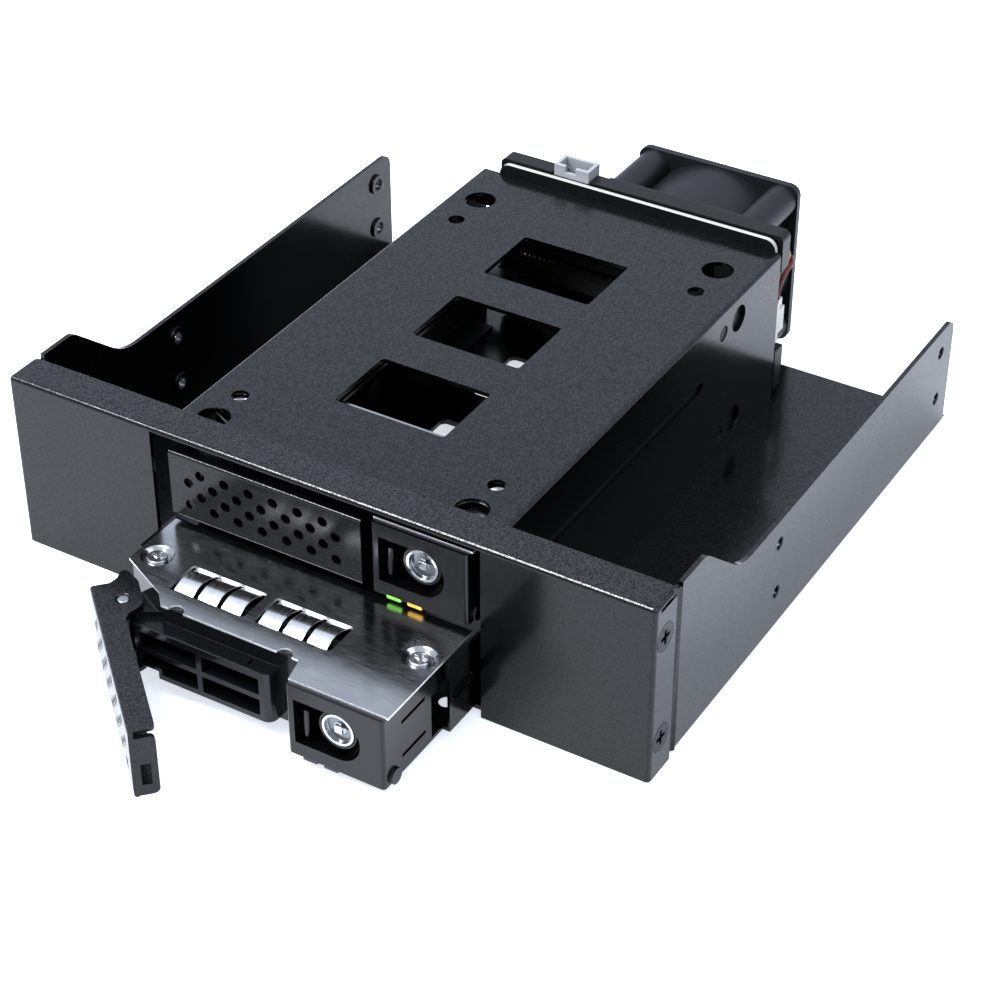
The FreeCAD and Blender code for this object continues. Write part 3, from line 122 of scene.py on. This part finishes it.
def roughAround(tree, noise, look, steps):
    return valueBetween(tree, noise, look["rough"] + steps[0], look["rough"] + steps[1])


def noiseOf(tree, spot, size, detail=2.0, stretch=(1, 1, 1)):
    # noise whose lumps are about size millimetres across, before the stretch
    scaled = addNode(tree, "ShaderNodeMapping", {"Vector": spot, "Scale": stretch})
    noise = addNode(tree, "ShaderNodeTexNoise", {"Vector": scaled.outputs["Vector"], "Scale": 1 / (size * mm),
                                                 "Detail": detail})
    return noise.outputs["Fac"]


def bumpFrom(tree, shader, height, look):
    bump = addNode(tree, "ShaderNodeBump", {"Height": height, "Distance": look["depth"] * mm,
                                            "Strength": look["strength"]})
    tree.links.new(bump.outputs["Normal"], shader.inputs["Normal"])


def combine(tree, operation, first, second=0.0):
    return addNode(tree, "ShaderNodeMath", {"operation": operation, 0: first, 1: second}).outputs[0]


def mixValue(tree, factor, first, second):
    return addNode(tree, "ShaderNodeMix", {0: factor, 2: first, 3: second}).outputs[0]


def mixColour(tree, factor, first, second):
    first, second = [toLinear(colour) if isinstance(colour, str) else colour for colour in (first, second)]
    return addNode(tree, "ShaderNodeMix", {"data_type": "RGBA", 0: factor, 6: first, 7: second}).outputs[2]


def facing(tree, axis):
    # 1 where the surface faces along the axis, either way, and 0 elsewhere
    normal = addNode(tree, "ShaderNodeNewGeometry", {}).outputs["True Normal"]
    parts = addNode(tree, "ShaderNodeSeparateXYZ", {"Vector": normal})
    return combine(tree, "GREATER_THAN", combine(tree, "ABSOLUTE", parts.outputs[axis]), faceLimit)


# powder coat: the grains that carry a painted sparkle highlight, and the slow drift of colour and roughness
coat = {"sparks": (0.3, 0.75), "cloud": 22.0, "drift": 0.03, "roughSteps": (0.06, -0.08)}


def coatedSteel(name, look):
    # powder coat baked on sheet steel: a sandy grit whose grains, on faces turned up or down, carry a painted
    # highlight that stands in for light from above
    material, tree, shader, spot = startMaterial(name, {"Metallic": 0.0, "IOR": resinIor})
    grit = noiseOf(tree, spot, look["grit"])
    grains = addNode(tree, "ShaderNodeTexVoronoi", {"Vector": spot, "Scale": 1 / (look["grit"] * mm)})
    cloud = noiseOf(tree, spot, coat["cloud"], detail=1.0)
    ground = rampBetween(tree, cloud, look["low"], look["high"])
    sparks = valueBetween(tree, grains.outputs["Color"], 0.0, 1.0, coat["sparks"])
    upward = facing(tree, "Z")
    # painted highlight: the sparkle colour is mixed into the base colour on the grains of faces turned up or
    # down
    lit = combine(tree, "MULTIPLY", sparks, upward)
    tree.links.new(mixColour(tree, lit, ground, look["paintedSparkle"]), shader.inputs["Base Color"])
    sideGloss = valueBetween(tree, sparks, *look["sideGloss"], wholeSpan)
    topGloss = valueBetween(tree, sparks, *look["topGloss"], wholeSpan)
    tree.links.new(mixValue(tree, upward, sideGloss, topGloss), shader.inputs["Specular IOR Level"])
    rough = roughAround(tree, grit, look, coat["roughSteps"])
    drift = valueBetween(tree, cloud, -coat["drift"], coat["drift"])
    tree.links.new(combine(tree, "ADD", rough, drift), shader.inputs["Roughness"])
    bumpFrom(tree, shader, grit, look)
    return material


moulding = {"cloud": 9.0, "roughSteps": (-0.04, 0.05)}


def mouldedPlastic(name, look):
    # ABS, PBT, LCP, nylon, PVC or fired ceramic: even colour, a faint orange peel
    material, tree, shader, spot = startMaterial(name, {"Metallic": 0.0, "IOR": resinIor})
    peel = noiseOf(tree, spot, look["grain"])
    cloud = noiseOf(tree, spot, moulding["cloud"], detail=1.0)
    tree.links.new(rampBetween(tree, cloud, look["low"], look["high"]), shader.inputs["Base Color"])
    tree.links.new(roughAround(tree, peel, look, moulding["roughSteps"]), shader.inputs["Roughness"])
    bumpFrom(tree, shader, peel, look)
    return material


def boardLaminate(name, look):
    # glass epoxy under black solder mask, with the pale laminate bare along its sawn edges in front
    material, tree, shader, spot = startMaterial(name, {"Metallic": 0.0, "IOR": resinIor})
    weave = noiseOf(tree, spot, look["weave"], detail=3.0)
    mask = rampBetween(tree, weave, look["low"], look["high"])
    edge = rampBetween(tree, weave, look["edgeLow"], look["edgeHigh"])
    parts = addNode(tree, "ShaderNodeSeparateXYZ", {"Vector": spot})
    covered = combine(tree, "GREATER_THAN", parts.outputs["Y"], place(0, look["bare"], 0).y)
    masked = combine(tree, "MAXIMUM", facing(tree, "Y"), covered)
    tree.links.new(mixColour(tree, masked, edge, mask), shader.inputs["Base Color"])
    tree.links.new(roughAround(tree, weave, look, look["roughSteps"]), shader.inputs["Roughness"])
    bumpFrom(tree, shader, weave, look)
    return material


metal = {"haze": 6.0, "roughSteps": (-0.05, 0.08)}


def brightMetal(name, look):
    # plated, brushed or rolled metal: fine lines along one axis, a slight haze
    material, tree, shader, spot = startMaterial(name, {"Metallic": 1.0})
    lines = noiseOf(tree, spot, look["line"], stretch=look.get("stretch", (1, 1, 1)))
    face = rampBetween(tree, noiseOf(tree, spot, metal["haze"]), look["low"], look["high"])
    rough = roughAround(tree, lines, look, metal["roughSteps"])
    if "cutEdgePaintedHighlight" in look:
        # a sheared edge is torn, so it scatters the light; its colour is a painted highlight, far brighter
        # than the sheet's faces
        flat = facing(tree, "Z")
        face = mixColour(tree, flat, look["cutEdgePaintedHighlight"], face)
        rough = mixValue(tree, flat, look["edgeRough"], rough)
    tree.links.new(face, shader.inputs["Base Color"])
    tree.links.new(rough, shader.inputs["Roughness"])
    bumpFrom(tree, shader, lines, look)
    return material


# the key's barrel: radii of its bowl and its post, and how soon each of them fades into the next
barrel = {"centreX": 23.9, "bowl": 2.95, "bowlFade": 0.1, "post": 1.15, "postFade": 0.15,
          "darkBowl": "#7b7e81", "polished": "#c6c8cb", "rough": 0.26, "rimRough": 0.08,
          "grain": 0.3, "depth": 0.006, "strength": 0.3}


def keyBarrel(name, look):
    # plated barrel: a polished rim and post, with a darker and rougher bowl between them
    material, tree, shader, spot = startMaterial(name, {"Metallic": 1.0})
    centre = place(barrel["centreX"], 0, look["centreZ"])
    offset = addNode(tree, "ShaderNodeVectorMath", {"operation": "SUBTRACT", 0: spot, 1: centre})
    flat = addNode(tree, "ShaderNodeVectorMath",
                   {"operation": "MULTIPLY", 0: offset.outputs["Vector"], 1: (1, 0, 1)})
    reach = addNode(tree, "ShaderNodeVectorMath", {"operation": "LENGTH", 0: flat.outputs["Vector"]})
    radius = reach.outputs["Value"]
    bowl, post = barrel["bowl"], barrel["post"]
    onRim = valueBetween(tree, radius, 0.0, 1.0, ((bowl - barrel["bowlFade"]) * mm, bowl * mm))
    onPost = valueBetween(tree, radius, 1.0, 0.0, (post * mm, (post + barrel["postFade"]) * mm))
    bright = combine(tree, "MAXIMUM", onRim, onPost)
    tree.links.new(mixColour(tree, bright, barrel["darkBowl"], barrel["polished"]), shader.inputs["Base Color"])
    rough = valueBetween(tree, bright, barrel["rough"], barrel["rimRough"], wholeSpan)
    tree.links.new(rough, shader.inputs["Roughness"])
    bumpFrom(tree, shader, noiseOf(tree, spot, barrel["grain"]), barrel)
    return material


# light pipes: the glow rises between the two fades, in millimetres behind the lens's front
acrylic = {"rough": 0.16, "ior": 1.49, "grain": 0.6, "depth": 0.01, "strength": 0.2, "flicker": 1.6,
           "front": 0.55, "fades": (0.7, 0.2)}


def lightPipe(name, look):
    # a clear acrylic light pipe: where it is lit, only its end glows
    settings = {"Roughness": acrylic["rough"], "IOR": acrylic["ior"], "Base Color": toLinear(look["base"])}
    material, tree, shader, spot = startMaterial(name, settings)
    if "glow" in look:
        parts = addNode(tree, "ShaderNodeSeparateXYZ", {"Vector": spot})
        span = [place(0, acrylic["front"] + fade, 0).y for fade in acrylic["fades"]]
        power = valueBetween(tree, parts.outputs["Y"], 0.0, look["power"], span)
        flicker = noiseOf(tree, spot, acrylic["flicker"], detail=1.0)
        glow = rampBetween(tree, flicker, look["glow"], look["core"])
        tree.links.new(glow, shader.inputs["Emission Color"])
        tree.links.new(power, shader.inputs["Emission Strength"])
    bumpFrom(tree, shader, noiseOf(tree, spot, acrylic["grain"], detail=1.0), acrylic)
    return material


# sizes of grain, line and weave and depths of relief are in millimetres
# the sparkle colour of each coated look is a painted highlight on the grains of faces turned up or down
coatedLooks = {
    "black powder coated steel": {"grit": 0.26, "low": "#040405", "high": "#060607", "paintedSparkle": "#16181d",
                                  "sideGloss": (0.38, 0.55), "topGloss": (0.48, 0.88),
                                  "rough": 0.2, "depth": 0.01, "strength": 0.3},
    "black powder coated panel": {"grit": 0.19, "low": "#040405", "high": "#060607", "paintedSparkle": "#1a1c22",
                                  "sideGloss": (0.4, 0.54), "topGloss": (0.4, 1.25),
                                  "rough": 0.2, "depth": 0.01, "strength": 0.3},
    "black powder coated lever": {"grit": 0.2, "low": "#050506", "high": "#08080a", "paintedSparkle": "#181a1f",
                                  "sideGloss": (0.38, 0.56), "topGloss": (0.45, 1.1),
                                  "rough": 0.24, "depth": 0.01, "strength": 0.35},
}
plasticLooks = {
    "black gloss ABS": {"grain": 0.5, "low": "#0a0a0c", "high": "#0e0e10", "rough": 0.2, "depth": 0.008,
                        "strength": 0.25},
    "black satin ABS": {"grain": 0.5, "low": "#141519", "high": "#18191d", "rough": 0.15, "depth": 0.004,
                        "strength": 0.12},
    "black fan PBT": {"grain": 0.4, "low": "#1f2024", "high": "#25262b", "rough": 0.46, "depth": 0.02,
                      "strength": 0.35},
    "black satin PBT": {"grain": 0.4, "low": "#0c0c0e", "high": "#111114", "rough": 0.36, "depth": 0.02,
                        "strength": 0.35},
    "grey nylon rail": {"grain": 0.4, "low": "#1a1b1d", "high": "#242528", "rough": 0.42, "depth": 0.02,
                        "strength": 0.35},
    "black connector LCP": {"grain": 0.3, "low": "#08080a", "high": "#0d0d0f", "rough": 0.38, "depth": 0.01,
                            "strength": 0.3},
    "grey connector nylon": {"grain": 0.4, "low": "#9fa0a4", "high": "#b2b3b7", "rough": 0.38, "depth": 0.02,
                             "strength": 0.3},
    "white connector nylon": {"grain": 0.4, "low": "#dcdad2", "high": "#e8e6df", "rough": 0.36, "depth": 0.02,
                              "strength": 0.3},
    "black PVC insulation": {"grain": 0.6, "low": "#17181a", "high": "#1f2023", "rough": 0.4, "depth": 0.02,
                             "strength": 0.3},
    "yellow PVC insulation": {"grain": 0.6, "low": "#8a7f3c", "high": "#a09148", "rough": 0.4, "depth": 0.02,
                              "strength": 0.3},
    "red PVC insulation": {"grain": 0.6, "low": "#6e3227", "high": "#7e3a2e", "rough": 0.4, "depth": 0.02,
                           "strength": 0.3},
    "tan chip ceramic": {"grain": 0.3, "low": "#8d7458", "high": "#a2876a", "rough": 0.4, "depth": 0.01,
                         "strength": 0.3},
}
boardLooks = {
    "glass epoxy board": {"weave": 0.3, "low": "#0b0c0c", "high": "#151617", "edgeLow": "#b9b8b3",
                          "edgeHigh": "#cfcec9", "bare": 124.75, "rough": 0.36, "roughSteps": (-0.05, 0.08),
                          "depth": 0.01, "strength": 0.35},
}
metalLooks = {
    # the satin sheet's cut-edge colour is a painted highlight on its edges
    "satin stainless sheet": {"line": 0.25, "stretch": (0.08, 1, 1), "low": "#adaeb0", "high": "#b9babc",
                              "cutEdgePaintedHighlight": "#f6f7f7", "edgeRough": 0.55, "rough": 0.19, "depth": 0.001,
                              "strength": 0.06},
    "bright nickel spring": {"line": 0.3, "stretch": (1, 0.1, 1), "low": "#d9dadb", "high": "#e6e7e8",
                             "rough": 0.2, "depth": 0.004, "strength": 0.2},
    "zinc plated screw": {"line": 0.2, "low": "#bfc0c1", "high": "#d2d3d4", "rough": 0.2, "depth": 0.01,
                          "strength": 0.3},
    "black zinc screw": {"line": 0.2, "low": "#2b2d30", "high": "#3a3c40", "rough": 0.34, "depth": 0.01,
                         "strength": 0.3},
    "tapped dark steel": {"line": 0.2, "low": "#3c3e41", "high": "#585a5e", "rough": 0.3, "depth": 0.01,
                          "strength": 0.3},
    "gold plated contact": {"line": 0.2, "low": "#c9a24a", "high": "#d8b45c", "rough": 0.25, "depth": 0.003,
                            "strength": 0.2},
    "tinned solder": {"line": 0.4, "low": "#b4b6b8", "high": "#cccdce", "rough": 0.28, "depth": 0.01,
                      "strength": 0.4},
    "aluminium can": {"line": 0.2, "stretch": (1, 1, 0.1), "low": "#b9babc", "high": "#c6c7c9",
                      "rough": 0.3, "depth": 0.004, "strength": 0.2},
}
keyLooks = {"lower key chrome": {"centreZ": 12.5}, "upper key chrome": {"centreZ": 30.8}}
pipeLooks = {
    "lit green acrylic": {"base": "#2c5a20", "glow": "#7bd64a", "core": "#b4f884", "power": 1.0},
    "lit amber acrylic": {"base": "#6a4415", "glow": "#f0b23a", "core": "#ffe070", "power": 1.0},
    "unlit acrylic": {"base": "#2e3033"},
}
materials = {}
for makeMaterial, looks in ((coatedSteel, coatedLooks), (mouldedPlastic, plasticLooks),
                            (brightMetal, metalLooks), (keyBarrel, keyLooks), (lightPipe, pipeLooks),
                            (boardLaminate, boardLooks)):
    for name, look in looks.items():
        materials[name] = makeMaterial(name, look)
print("materials made:", len(materials))

# finish of each node, with the width in millimetres to which its edges are broken
finishes = {
    "mounting_bracket": ("black powder coated steel", 0.18),
    "front_panel": ("black powder coated panel", 0.34),
    "panel_screws": ("black zinc screw", 0.06),
    "cage_cover": ("black powder coated steel", 0.18),
    "left_guide_rail": ("grey nylon rail", 0.1),
    "right_guide_rail": ("grey nylon rail", 0.1),
    "backplane_board": ("glass epoxy board", 0.05),
    "board_screws": ("zinc plated screw", 0.06),
    "lower_drive_socket": ("black connector LCP", 0.08),
    "upper_drive_socket": ("black connector LCP", 0.08),
    "rear_frame": ("black satin PBT", 0.15),
    "first_data_socket": ("black connector LCP", 0.08),
    "second_data_socket": ("black connector LCP", 0.08),
    "power_socket": ("black connector LCP", 0.08),
    "top_header": ("grey connector nylon", 0.08),
    "capacitors": ("aluminium can", 0.12),
    "fan_header": ("white connector nylon", 0.08),
    "fan_plug": ("white connector nylon", 0.08),
    "black_fan_wire": ("black PVC insulation", 0),
    "yellow_fan_wire": ("yellow PVC insulation", 0),
    "red_fan_wire": ("red PVC insulation", 0),
    "fan_frame": ("black fan PBT", 0.2),
    "fan_screws": ("black zinc screw", 0.06),
    "fan_rotor": ("black satin PBT", 0.1),
}
trayFinishes = {
    "tray_frame": ("black powder coated steel", 0.1),
    "tray_screws": ("black zinc screw", 0.05),
    "front_moulding": ("black satin ABS", 0.22),
    "cover_plate": ("satin stainless sheet", 0.26),
    "cover_screws": ("zinc plated screw", 0.05),
    "shield_fingers": ("bright nickel spring", 0),
    "lock_housing": ("black gloss ABS", 0.15),
    "latch_spring": ("bright nickel spring", 0),
    "green_light_pipe": ("unlit acrylic", 0.05),
    "amber_light_pipe": ("unlit acrylic", 0.05),
    "lever_pin": ("zinc plated screw", 0.08),
    "lever": ("black powder coated lever", 0.14),
    "release_latch": ("black gloss ABS", 0.1),
}
for side in ("lower", "upper"):
    for part, finish in trayFinishes.items():
        finishes[side + "_" + part] = finish
    finishes[side + "_key_cylinder"] = (side + " key chrome", 0.06)
finishes["upper_green_light_pipe"] = ("lit green acrylic", 0.05)    # only the upper tray's lights are on
finishes["upper_amber_light_pipe"] = ("lit amber acrylic", 0.05)

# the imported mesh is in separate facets: they are welded, then the edges are broken a little
edges = {"weld": 0.002, "flatAngle": 0.6, "sharpAngle": 40, "segments": 2}


def dress(piece, finish, bevelWidth):
    piece.data.materials.clear()
    piece.data.materials.append(materials[finish])
    weld = piece.modifiers.new("weld", "WELD")
    weld.merge_threshold = edges["weld"] * mm
    if bevelWidth:
        flat = piece.modifiers.new("flat faces", "DECIMATE")
        flat.decimate_type = "DISSOLVE"
        flat.angle_limit = math.radians(edges["flatAngle"])
        bevel = piece.modifiers.new("broken edges", "BEVEL")
        bevel.width = bevelWidth * mm
        bevel.segments = edges["segments"]
        bevel.limit_method = "ANGLE"
        bevel.angle_limit = math.radians(edges["sharpAngle"])
        bevel.harden_normals = True
        bevel.use_clamp_overlap = True
    for face in piece.data.polygons:
        face.use_smooth = True
    smooth = piece.modifiers.new("even shading", "WEIGHTED_NORMAL")
    smooth.keep_sharp = True


for name, (finish, bevelWidth) in finishes.items():
    dress(nodes[name], finish, bevelWidth)
print("nodes dressed:", len(finishes))


# small metal pieces and wires
def newShape():
    return {"verts": [], "faces": []}


def addPiece(name, shape, finish, bevelWidth, body="housing"):
    mesh = bpy.data.meshes.new(name)
    mesh.from_pydata(shape["verts"], [], shape["faces"])
    skin = bmesh.new()
    skin.from_mesh(mesh)
    bmesh.ops.recalc_face_normals(skin, faces=skin.faces)
    skin.to_mesh(mesh)
    skin.free()
    piece = bpy.data.objects.new(name, mesh)
    scene.collection.objects.link(piece)
    dress(piece, finish, bevelWidth)
    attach(piece, body)
    return piece


def addLoft(shape, loops, closed):
    # skins loops of equal length, each joined to the next, with caps or closed on itself
    first = len(shape["verts"])
    count = len(loops[0])
    for loop in loops:
        shape["verts"].extend(loop)
    for i in range(len(loops) if closed else len(loops) - 1):
        here = first + i * count
        there = first + (i + 1) % len(loops) * count
        for j in range(count):
            k = (j + 1) % count
            shape["faces"].append((here + j, here + k, there + k, there + j))
    if not closed:
        for start in (first, first + (len(loops) - 1) * count):
            shape["faces"].append(tuple(range(start, start + count)))


def addStrip(shape, start, along, up, across, strip):
    # a strip of sheet metal whose line is given as (distance, height) pairs
    side, thick = strip["width"] / 2, strip["thick"]
    corners = ((-side, 0), (side, 0), (side, thick), (-side, thick))
    loops = []
    for reach, height in strip["bow"]:
        loops.append([start + (along * reach + up * (height + rise) + across * offset) * mm
                      for offset, rise in corners])
    addLoft(shape, loops, False)


def addThread(shape, centre, axis, thread):
    # the cut thread of a tapped hole: a ring with grooves inside
    inner, outer, length = thread["inner"], thread["outer"], thread["length"]
    groove = inner + thread["pitch"] / 2
    steps = 2 * max(2, round(length / thread["pitch"]))
    profile = [(0.0, outer)]
    profile += [(length * i / steps, inner if i % 2 == 0 else groove) for i in range(steps + 1)]
    profile += [(length, outer)]
    side = axis.orthogonal().normalized()
    other = axis.cross(side)
    loops = []
    for step in range(thread["segments"]):
        turn = 2 * math.pi * step / thread["segments"]
        ray = side * math.cos(turn) + other * math.sin(turn)
        loops.append([centre + (axis * t + ray * r) * mm for t, r in profile])
    addLoft(shape, loops, True)


def spaced(middle, count, pitch):
    return [middle + (i - (count - 1) / 2) * pitch for i in range(count)]


xAxis, yAxis, zAxis = Vector((1, 0, 0)), Vector((0, 1, 0)), Vector((0, 0, 1))

# M3 threads tapped through the bracket, in a dark steel colour
tapped = {"outer": 1.52, "inner": 1.24, "pitch": 0.5, "length": 1.52, "segments": 28,
          "y": (52.0, 131.25), "sideX": 71.44, "sideZ": (10.0, 21.84), "bottomX": 69.85, "bottomZ": 0.04}
threads = newShape()
for y in tapped["y"]:
    for sign in (-1, 1):
        for z in tapped["sideZ"]:
            addThread(threads, place(sign * tapped["sideX"], y, z), xAxis * sign, tapped)
        addThread(threads, place(sign * tapped["bottomX"], y, tapped["bottomZ"]), zAxis, tapped)
addPiece("tapped_threads", threads, "tapped dark steel", 0)

# gold contacts on the rear sockets' tongues
tongueStrip = {"bow": ((0.0, 0.0), (0.35, 0.05), (0.8, 0.06), (3.6, 0.06), (4.3, 0.0)),
               "width": 0.6, "thick": 0.06}
rearContacts = {"root": 132.15, "pitch": 1.27, "dataX": (-24.42, -16.22), "dataZ": 25.5, "dataCount": 7,
                "powerX": -19.2, "powerZ": 9.68, "powerCount": 9}
contacts = newShape()
for x in rearContacts["dataX"]:
    for z in spaced(rearContacts["dataZ"], rearContacts["dataCount"], rearContacts["pitch"]):
        addStrip(contacts, place(x, rearContacts["root"], z), -yAxis, xAxis, zAxis, tongueStrip)
for x in spaced(rearContacts["powerX"], rearContacts["powerCount"], rearContacts["pitch"]):
    root = place(x, rearContacts["root"], rearContacts["powerZ"])
    addStrip(contacts, root, -yAxis, zAxis, xAxis, tongueStrip)
addPiece("rear_socket_contacts", contacts, "gold plated contact", 0)

# gold spring contacts in the drive sockets, a narrow group and a wide one
springStrip = {"bow": ((0.0, 0.0), (0.5, 0.1), (1.4, 0.32), (2.3, 0.3), (3.4, 0.08), (4.6, 0.0)),
               "width": 0.5, "thick": 0.1}
driveContacts = {"inside": 0.3, "drop": 0.92, "rows": ((-19.2, 7, 1.27), (-3.3, 15, 1.14))}
for side in ("lower", "upper"):
    low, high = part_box(side + "_drive_socket")
    floorZ = (low[2] + high[2]) / 2 / mm - driveContacts["drop"]
    mouth = low[1] / mm + originY
    springs = newShape()
    for row in driveContacts["rows"]:
        for x in spaced(*row):
            root = place(x, mouth + driveContacts["inside"], floorZ)
            addStrip(springs, root, yAxis, zAxis, xAxis, springStrip)
    addPiece(side + "_drive_contacts", springs, "gold plated contact", 0)

# square tinned pins in the top header, drawn to a point: heights with the half width there
headerPins = {"middle": -15.4, "count": 3, "pitch": 2.0, "y": 127.8, "foot": 39.4,
              "outline": ((0.0, 0.25), (3.5, 0.25), (4.0, 0.12))}
pins = newShape()
for x in spaced(headerPins["middle"], headerPins["count"], headerPins["pitch"]):
    foot = place(x, headerPins["y"], headerPins["foot"])
    loops = []
    for height, half in headerPins["outline"]:
        ring = ((-half, -half), (half, -half), (half, half), (-half, half))
        loops.append([foot + Vector((a, b, height)) * mm for a, b in ring])
    addLoft(pins, loops, False)
addPiece("top_header_pins", pins, "tinned solder", 0.03)

# chip parts on the board's rear in a column and a row, each a ceramic body between two tinned ends
chipBody = {"bow": ((-0.62, 0.0), (0.0, 0.0), (0.62, 0.0)), "width": 1.2, "thick": 0.55}
chipEnd = {"bow": ((0.6, 0.0), (0.96, 0.0), (1.0, 0.0)), "width": 1.26, "thick": 0.6}
chips = {"y": 125.2, "columnX": -11.8, "columnZ": (16.0, 20.0, 24.0, 28.0, 32.0),
         "rowX": (-25.0, -21.4, -17.8, -14.8), "rowZ": 14.8}
chipPlaces = [(chips["columnX"], z, zAxis, xAxis) for z in chips["columnZ"]]
chipPlaces += [(x, chips["rowZ"], xAxis, zAxis) for x in chips["rowX"]]
chipBodies, chipEnds = newShape(), newShape()
for x, z, along, across in chipPlaces:
    centre = place(x, chips["y"], z)
    addStrip(chipBodies, centre, along, yAxis, across, chipBody)
    for sign in (-1, 1):
        addStrip(chipEnds, centre, along * sign, yAxis, across, chipEnd)
addPiece("chip_bodies", chipBodies, "tan chip ceramic", 0.04)
addPiece("chip_ends", chipEnds, "tinned solder", 0.06)

# the folded leaf springs behind the release latches, drawn in one fixed shape; the real ones flatten as the
# latch goes in
leaf = {"folds": 5, "sheet": 0.4, "points": 50, "press": 1.5, "endShare": 0.1}
for side in ("lower", "upper"):
    low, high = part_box(side + "_latch_spring")
    low = Vector(low) / mm
    high = Vector(high) / mm
    long = high.x - low.x
    swing = (high.y - low.y - leaf["sheet"]) / 2
    bow = []
    for i in range(leaf["points"] + 1):
        share = i / leaf["points"]
        fade = min(1.0, share / leaf["endShare"], (1 - share) / leaf["endShare"])
        bow.append((long * share, swing * math.cos(leaf["folds"] * math.pi * share) * fade))
    strip = {"bow": bow, "width": high.z - low.z, "thick": leaf["sheet"]}
    middle = Vector((low.x, (low.y + high.y - leaf["sheet"]) / 2, (low.z + high.z) / 2)) * mm
    spring = newShape()
    addStrip(spring, middle, xAxis, yAxis, zAxis, strip)
    piece = addPiece(side + "_leaf_spring", spring, "bright nickel spring", 0.03,
                     side + "_tray")
    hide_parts(side + "_latch_spring")
    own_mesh(piece)

# the fan's three wires, too short at 18 mm to be declared as cords: the first wire's points, from the
# fan frame to the plug, and how far each point moves on to the next wire
wireRun = {"points": ((27.2, 141.05, 32.0), (32.5, 140.05, 33.0), (32.5, 129.8, 29.0), (32.5, 129.8, 24.05)),
           "steps": ((0.8, 0, -1.5), (1.05, 0, -1.5), (1.05, 0, 0), (1.05, 0, 0)), "radius": 0.5}
wireLooks = {
    "black_fan_wire": {"finish": "black PVC insulation", "slot": "black_insulation"},
    "yellow_fan_wire": {"finish": "yellow PVC insulation", "slot": "yellow_insulation"},
    "red_fan_wire": {"finish": "red PVC insulation", "slot": "red_insulation"},
}
for order, (name, wire) in enumerate(wireLooks.items()):
    curve = bpy.data.curves.new(name + "_cord", "CURVE")
    curve.dimensions = "3D"
    curve.bevel_depth = wireRun["radius"] * mm
    curve.bevel_resolution = 5
    curve.use_fill_caps = True
    spline = curve.splines.new("NURBS")
    spline.points.add(len(wireRun["points"]) - 1)
    for point, start, step in zip(spline.points, wireRun["points"], wireRun["steps"]):
        point.co = place(*[a + b * order for a, b in zip(start, step)]).to_4d()
    spline.order_u = 3
    spline.use_endpoint_u = True
    spline.resolution_u = 16
    curve.materials.append(materials[wire["finish"]])
    piece = bpy.data.objects.new(name + "_cord", curve)
    scene.collection.objects.link(piece)
    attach(piece, "housing")
    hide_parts(name)
print("small pieces made")


# camera, floor and light
def addAimed(name, data, look):
    holder = bpy.data.objects.new(name, data)
    holder.location = place(*look["from"])
    holder.rotation_euler = (place(*look["towards"]) - holder.location).to_track_quat("-Z", "Y").to_euler()
    scene.collection.objects.link(holder)
    return holder


cameraLook = {"from": (227.237, -310.773, 316.352), "towards": (5.139, 60.0, 1.875), "lens": 91.06,
              "sensor": 36.0, "nearest": 0.01}
camera = addAimed("camera", bpy.data.cameras.new("camera"), cameraLook)
camera.data.lens = cameraLook["lens"]
camera.data.sensor_width = cameraLook["sensor"]
camera.data.clip_start = cameraLook["nearest"]
scene.camera = camera

# pale paper on a lit table, in metres, just under the part
floorLook = {"size": 6.0, "gap": 0.0002, "colour": "#f0f3f9", "glow": 0.56, "rough": 0.9}
paper = {"Base Color": toLinear(floorLook["colour"]), "Emission Color": toLinear(floorLook["colour"]),
         "Emission Strength": floorLook["glow"], "Roughness": floorLook["rough"]}
half = floorLook["size"] / 2
floorMesh = bpy.data.meshes.new("floor")
floorMesh.from_pydata([(-half, -half, 0), (half, -half, 0), (half, half, 0), (-half, half, 0)], [],
                      [(0, 1, 2, 3)])
floorMesh.materials.append(startMaterial("pale studio paper", paper)[0])
floor = bpy.data.objects.new("floor", floorMesh)
floor.location.z = cadBox[0].z - floorLook["gap"]
scene.collection.objects.link(floor)

worldLook = {"colour": "#e2eaf7", "strength": 0.95}
world = bpy.data.worlds.new("studio")
world.use_nodes = True
background = world.node_tree.nodes["Background"]
background.inputs["Color"].default_value = toLinear(worldLook["colour"])
background.inputs["Strength"].default_value = worldLook["strength"]
scene.world = world

lamps = {
    "overhead": {"from": (-340, -320, 820), "towards": (-90, -60, 0), "size": 460, "power": 7.0},
    "side": {"from": (620, 60, 700), "towards": (60, 60, 0), "size": 420, "power": 0.6},
}
for name, lamp in lamps.items():
    light = bpy.data.lights.new(name, "AREA")
    light.size = lamp["size"] * mm
    light.energy = lamp["power"]
    addAimed(name, light, lamp)

# a contrasty print: the blacks go down, the whites stay
printLook = {"exposure": 0.4, "gamma": 0.82}
scene.view_settings.view_transform = "Standard"
scene.view_settings.exposure = printLook["exposure"]
scene.view_settings.gamma = printLook["gamma"]
print("camera, floor and light made")
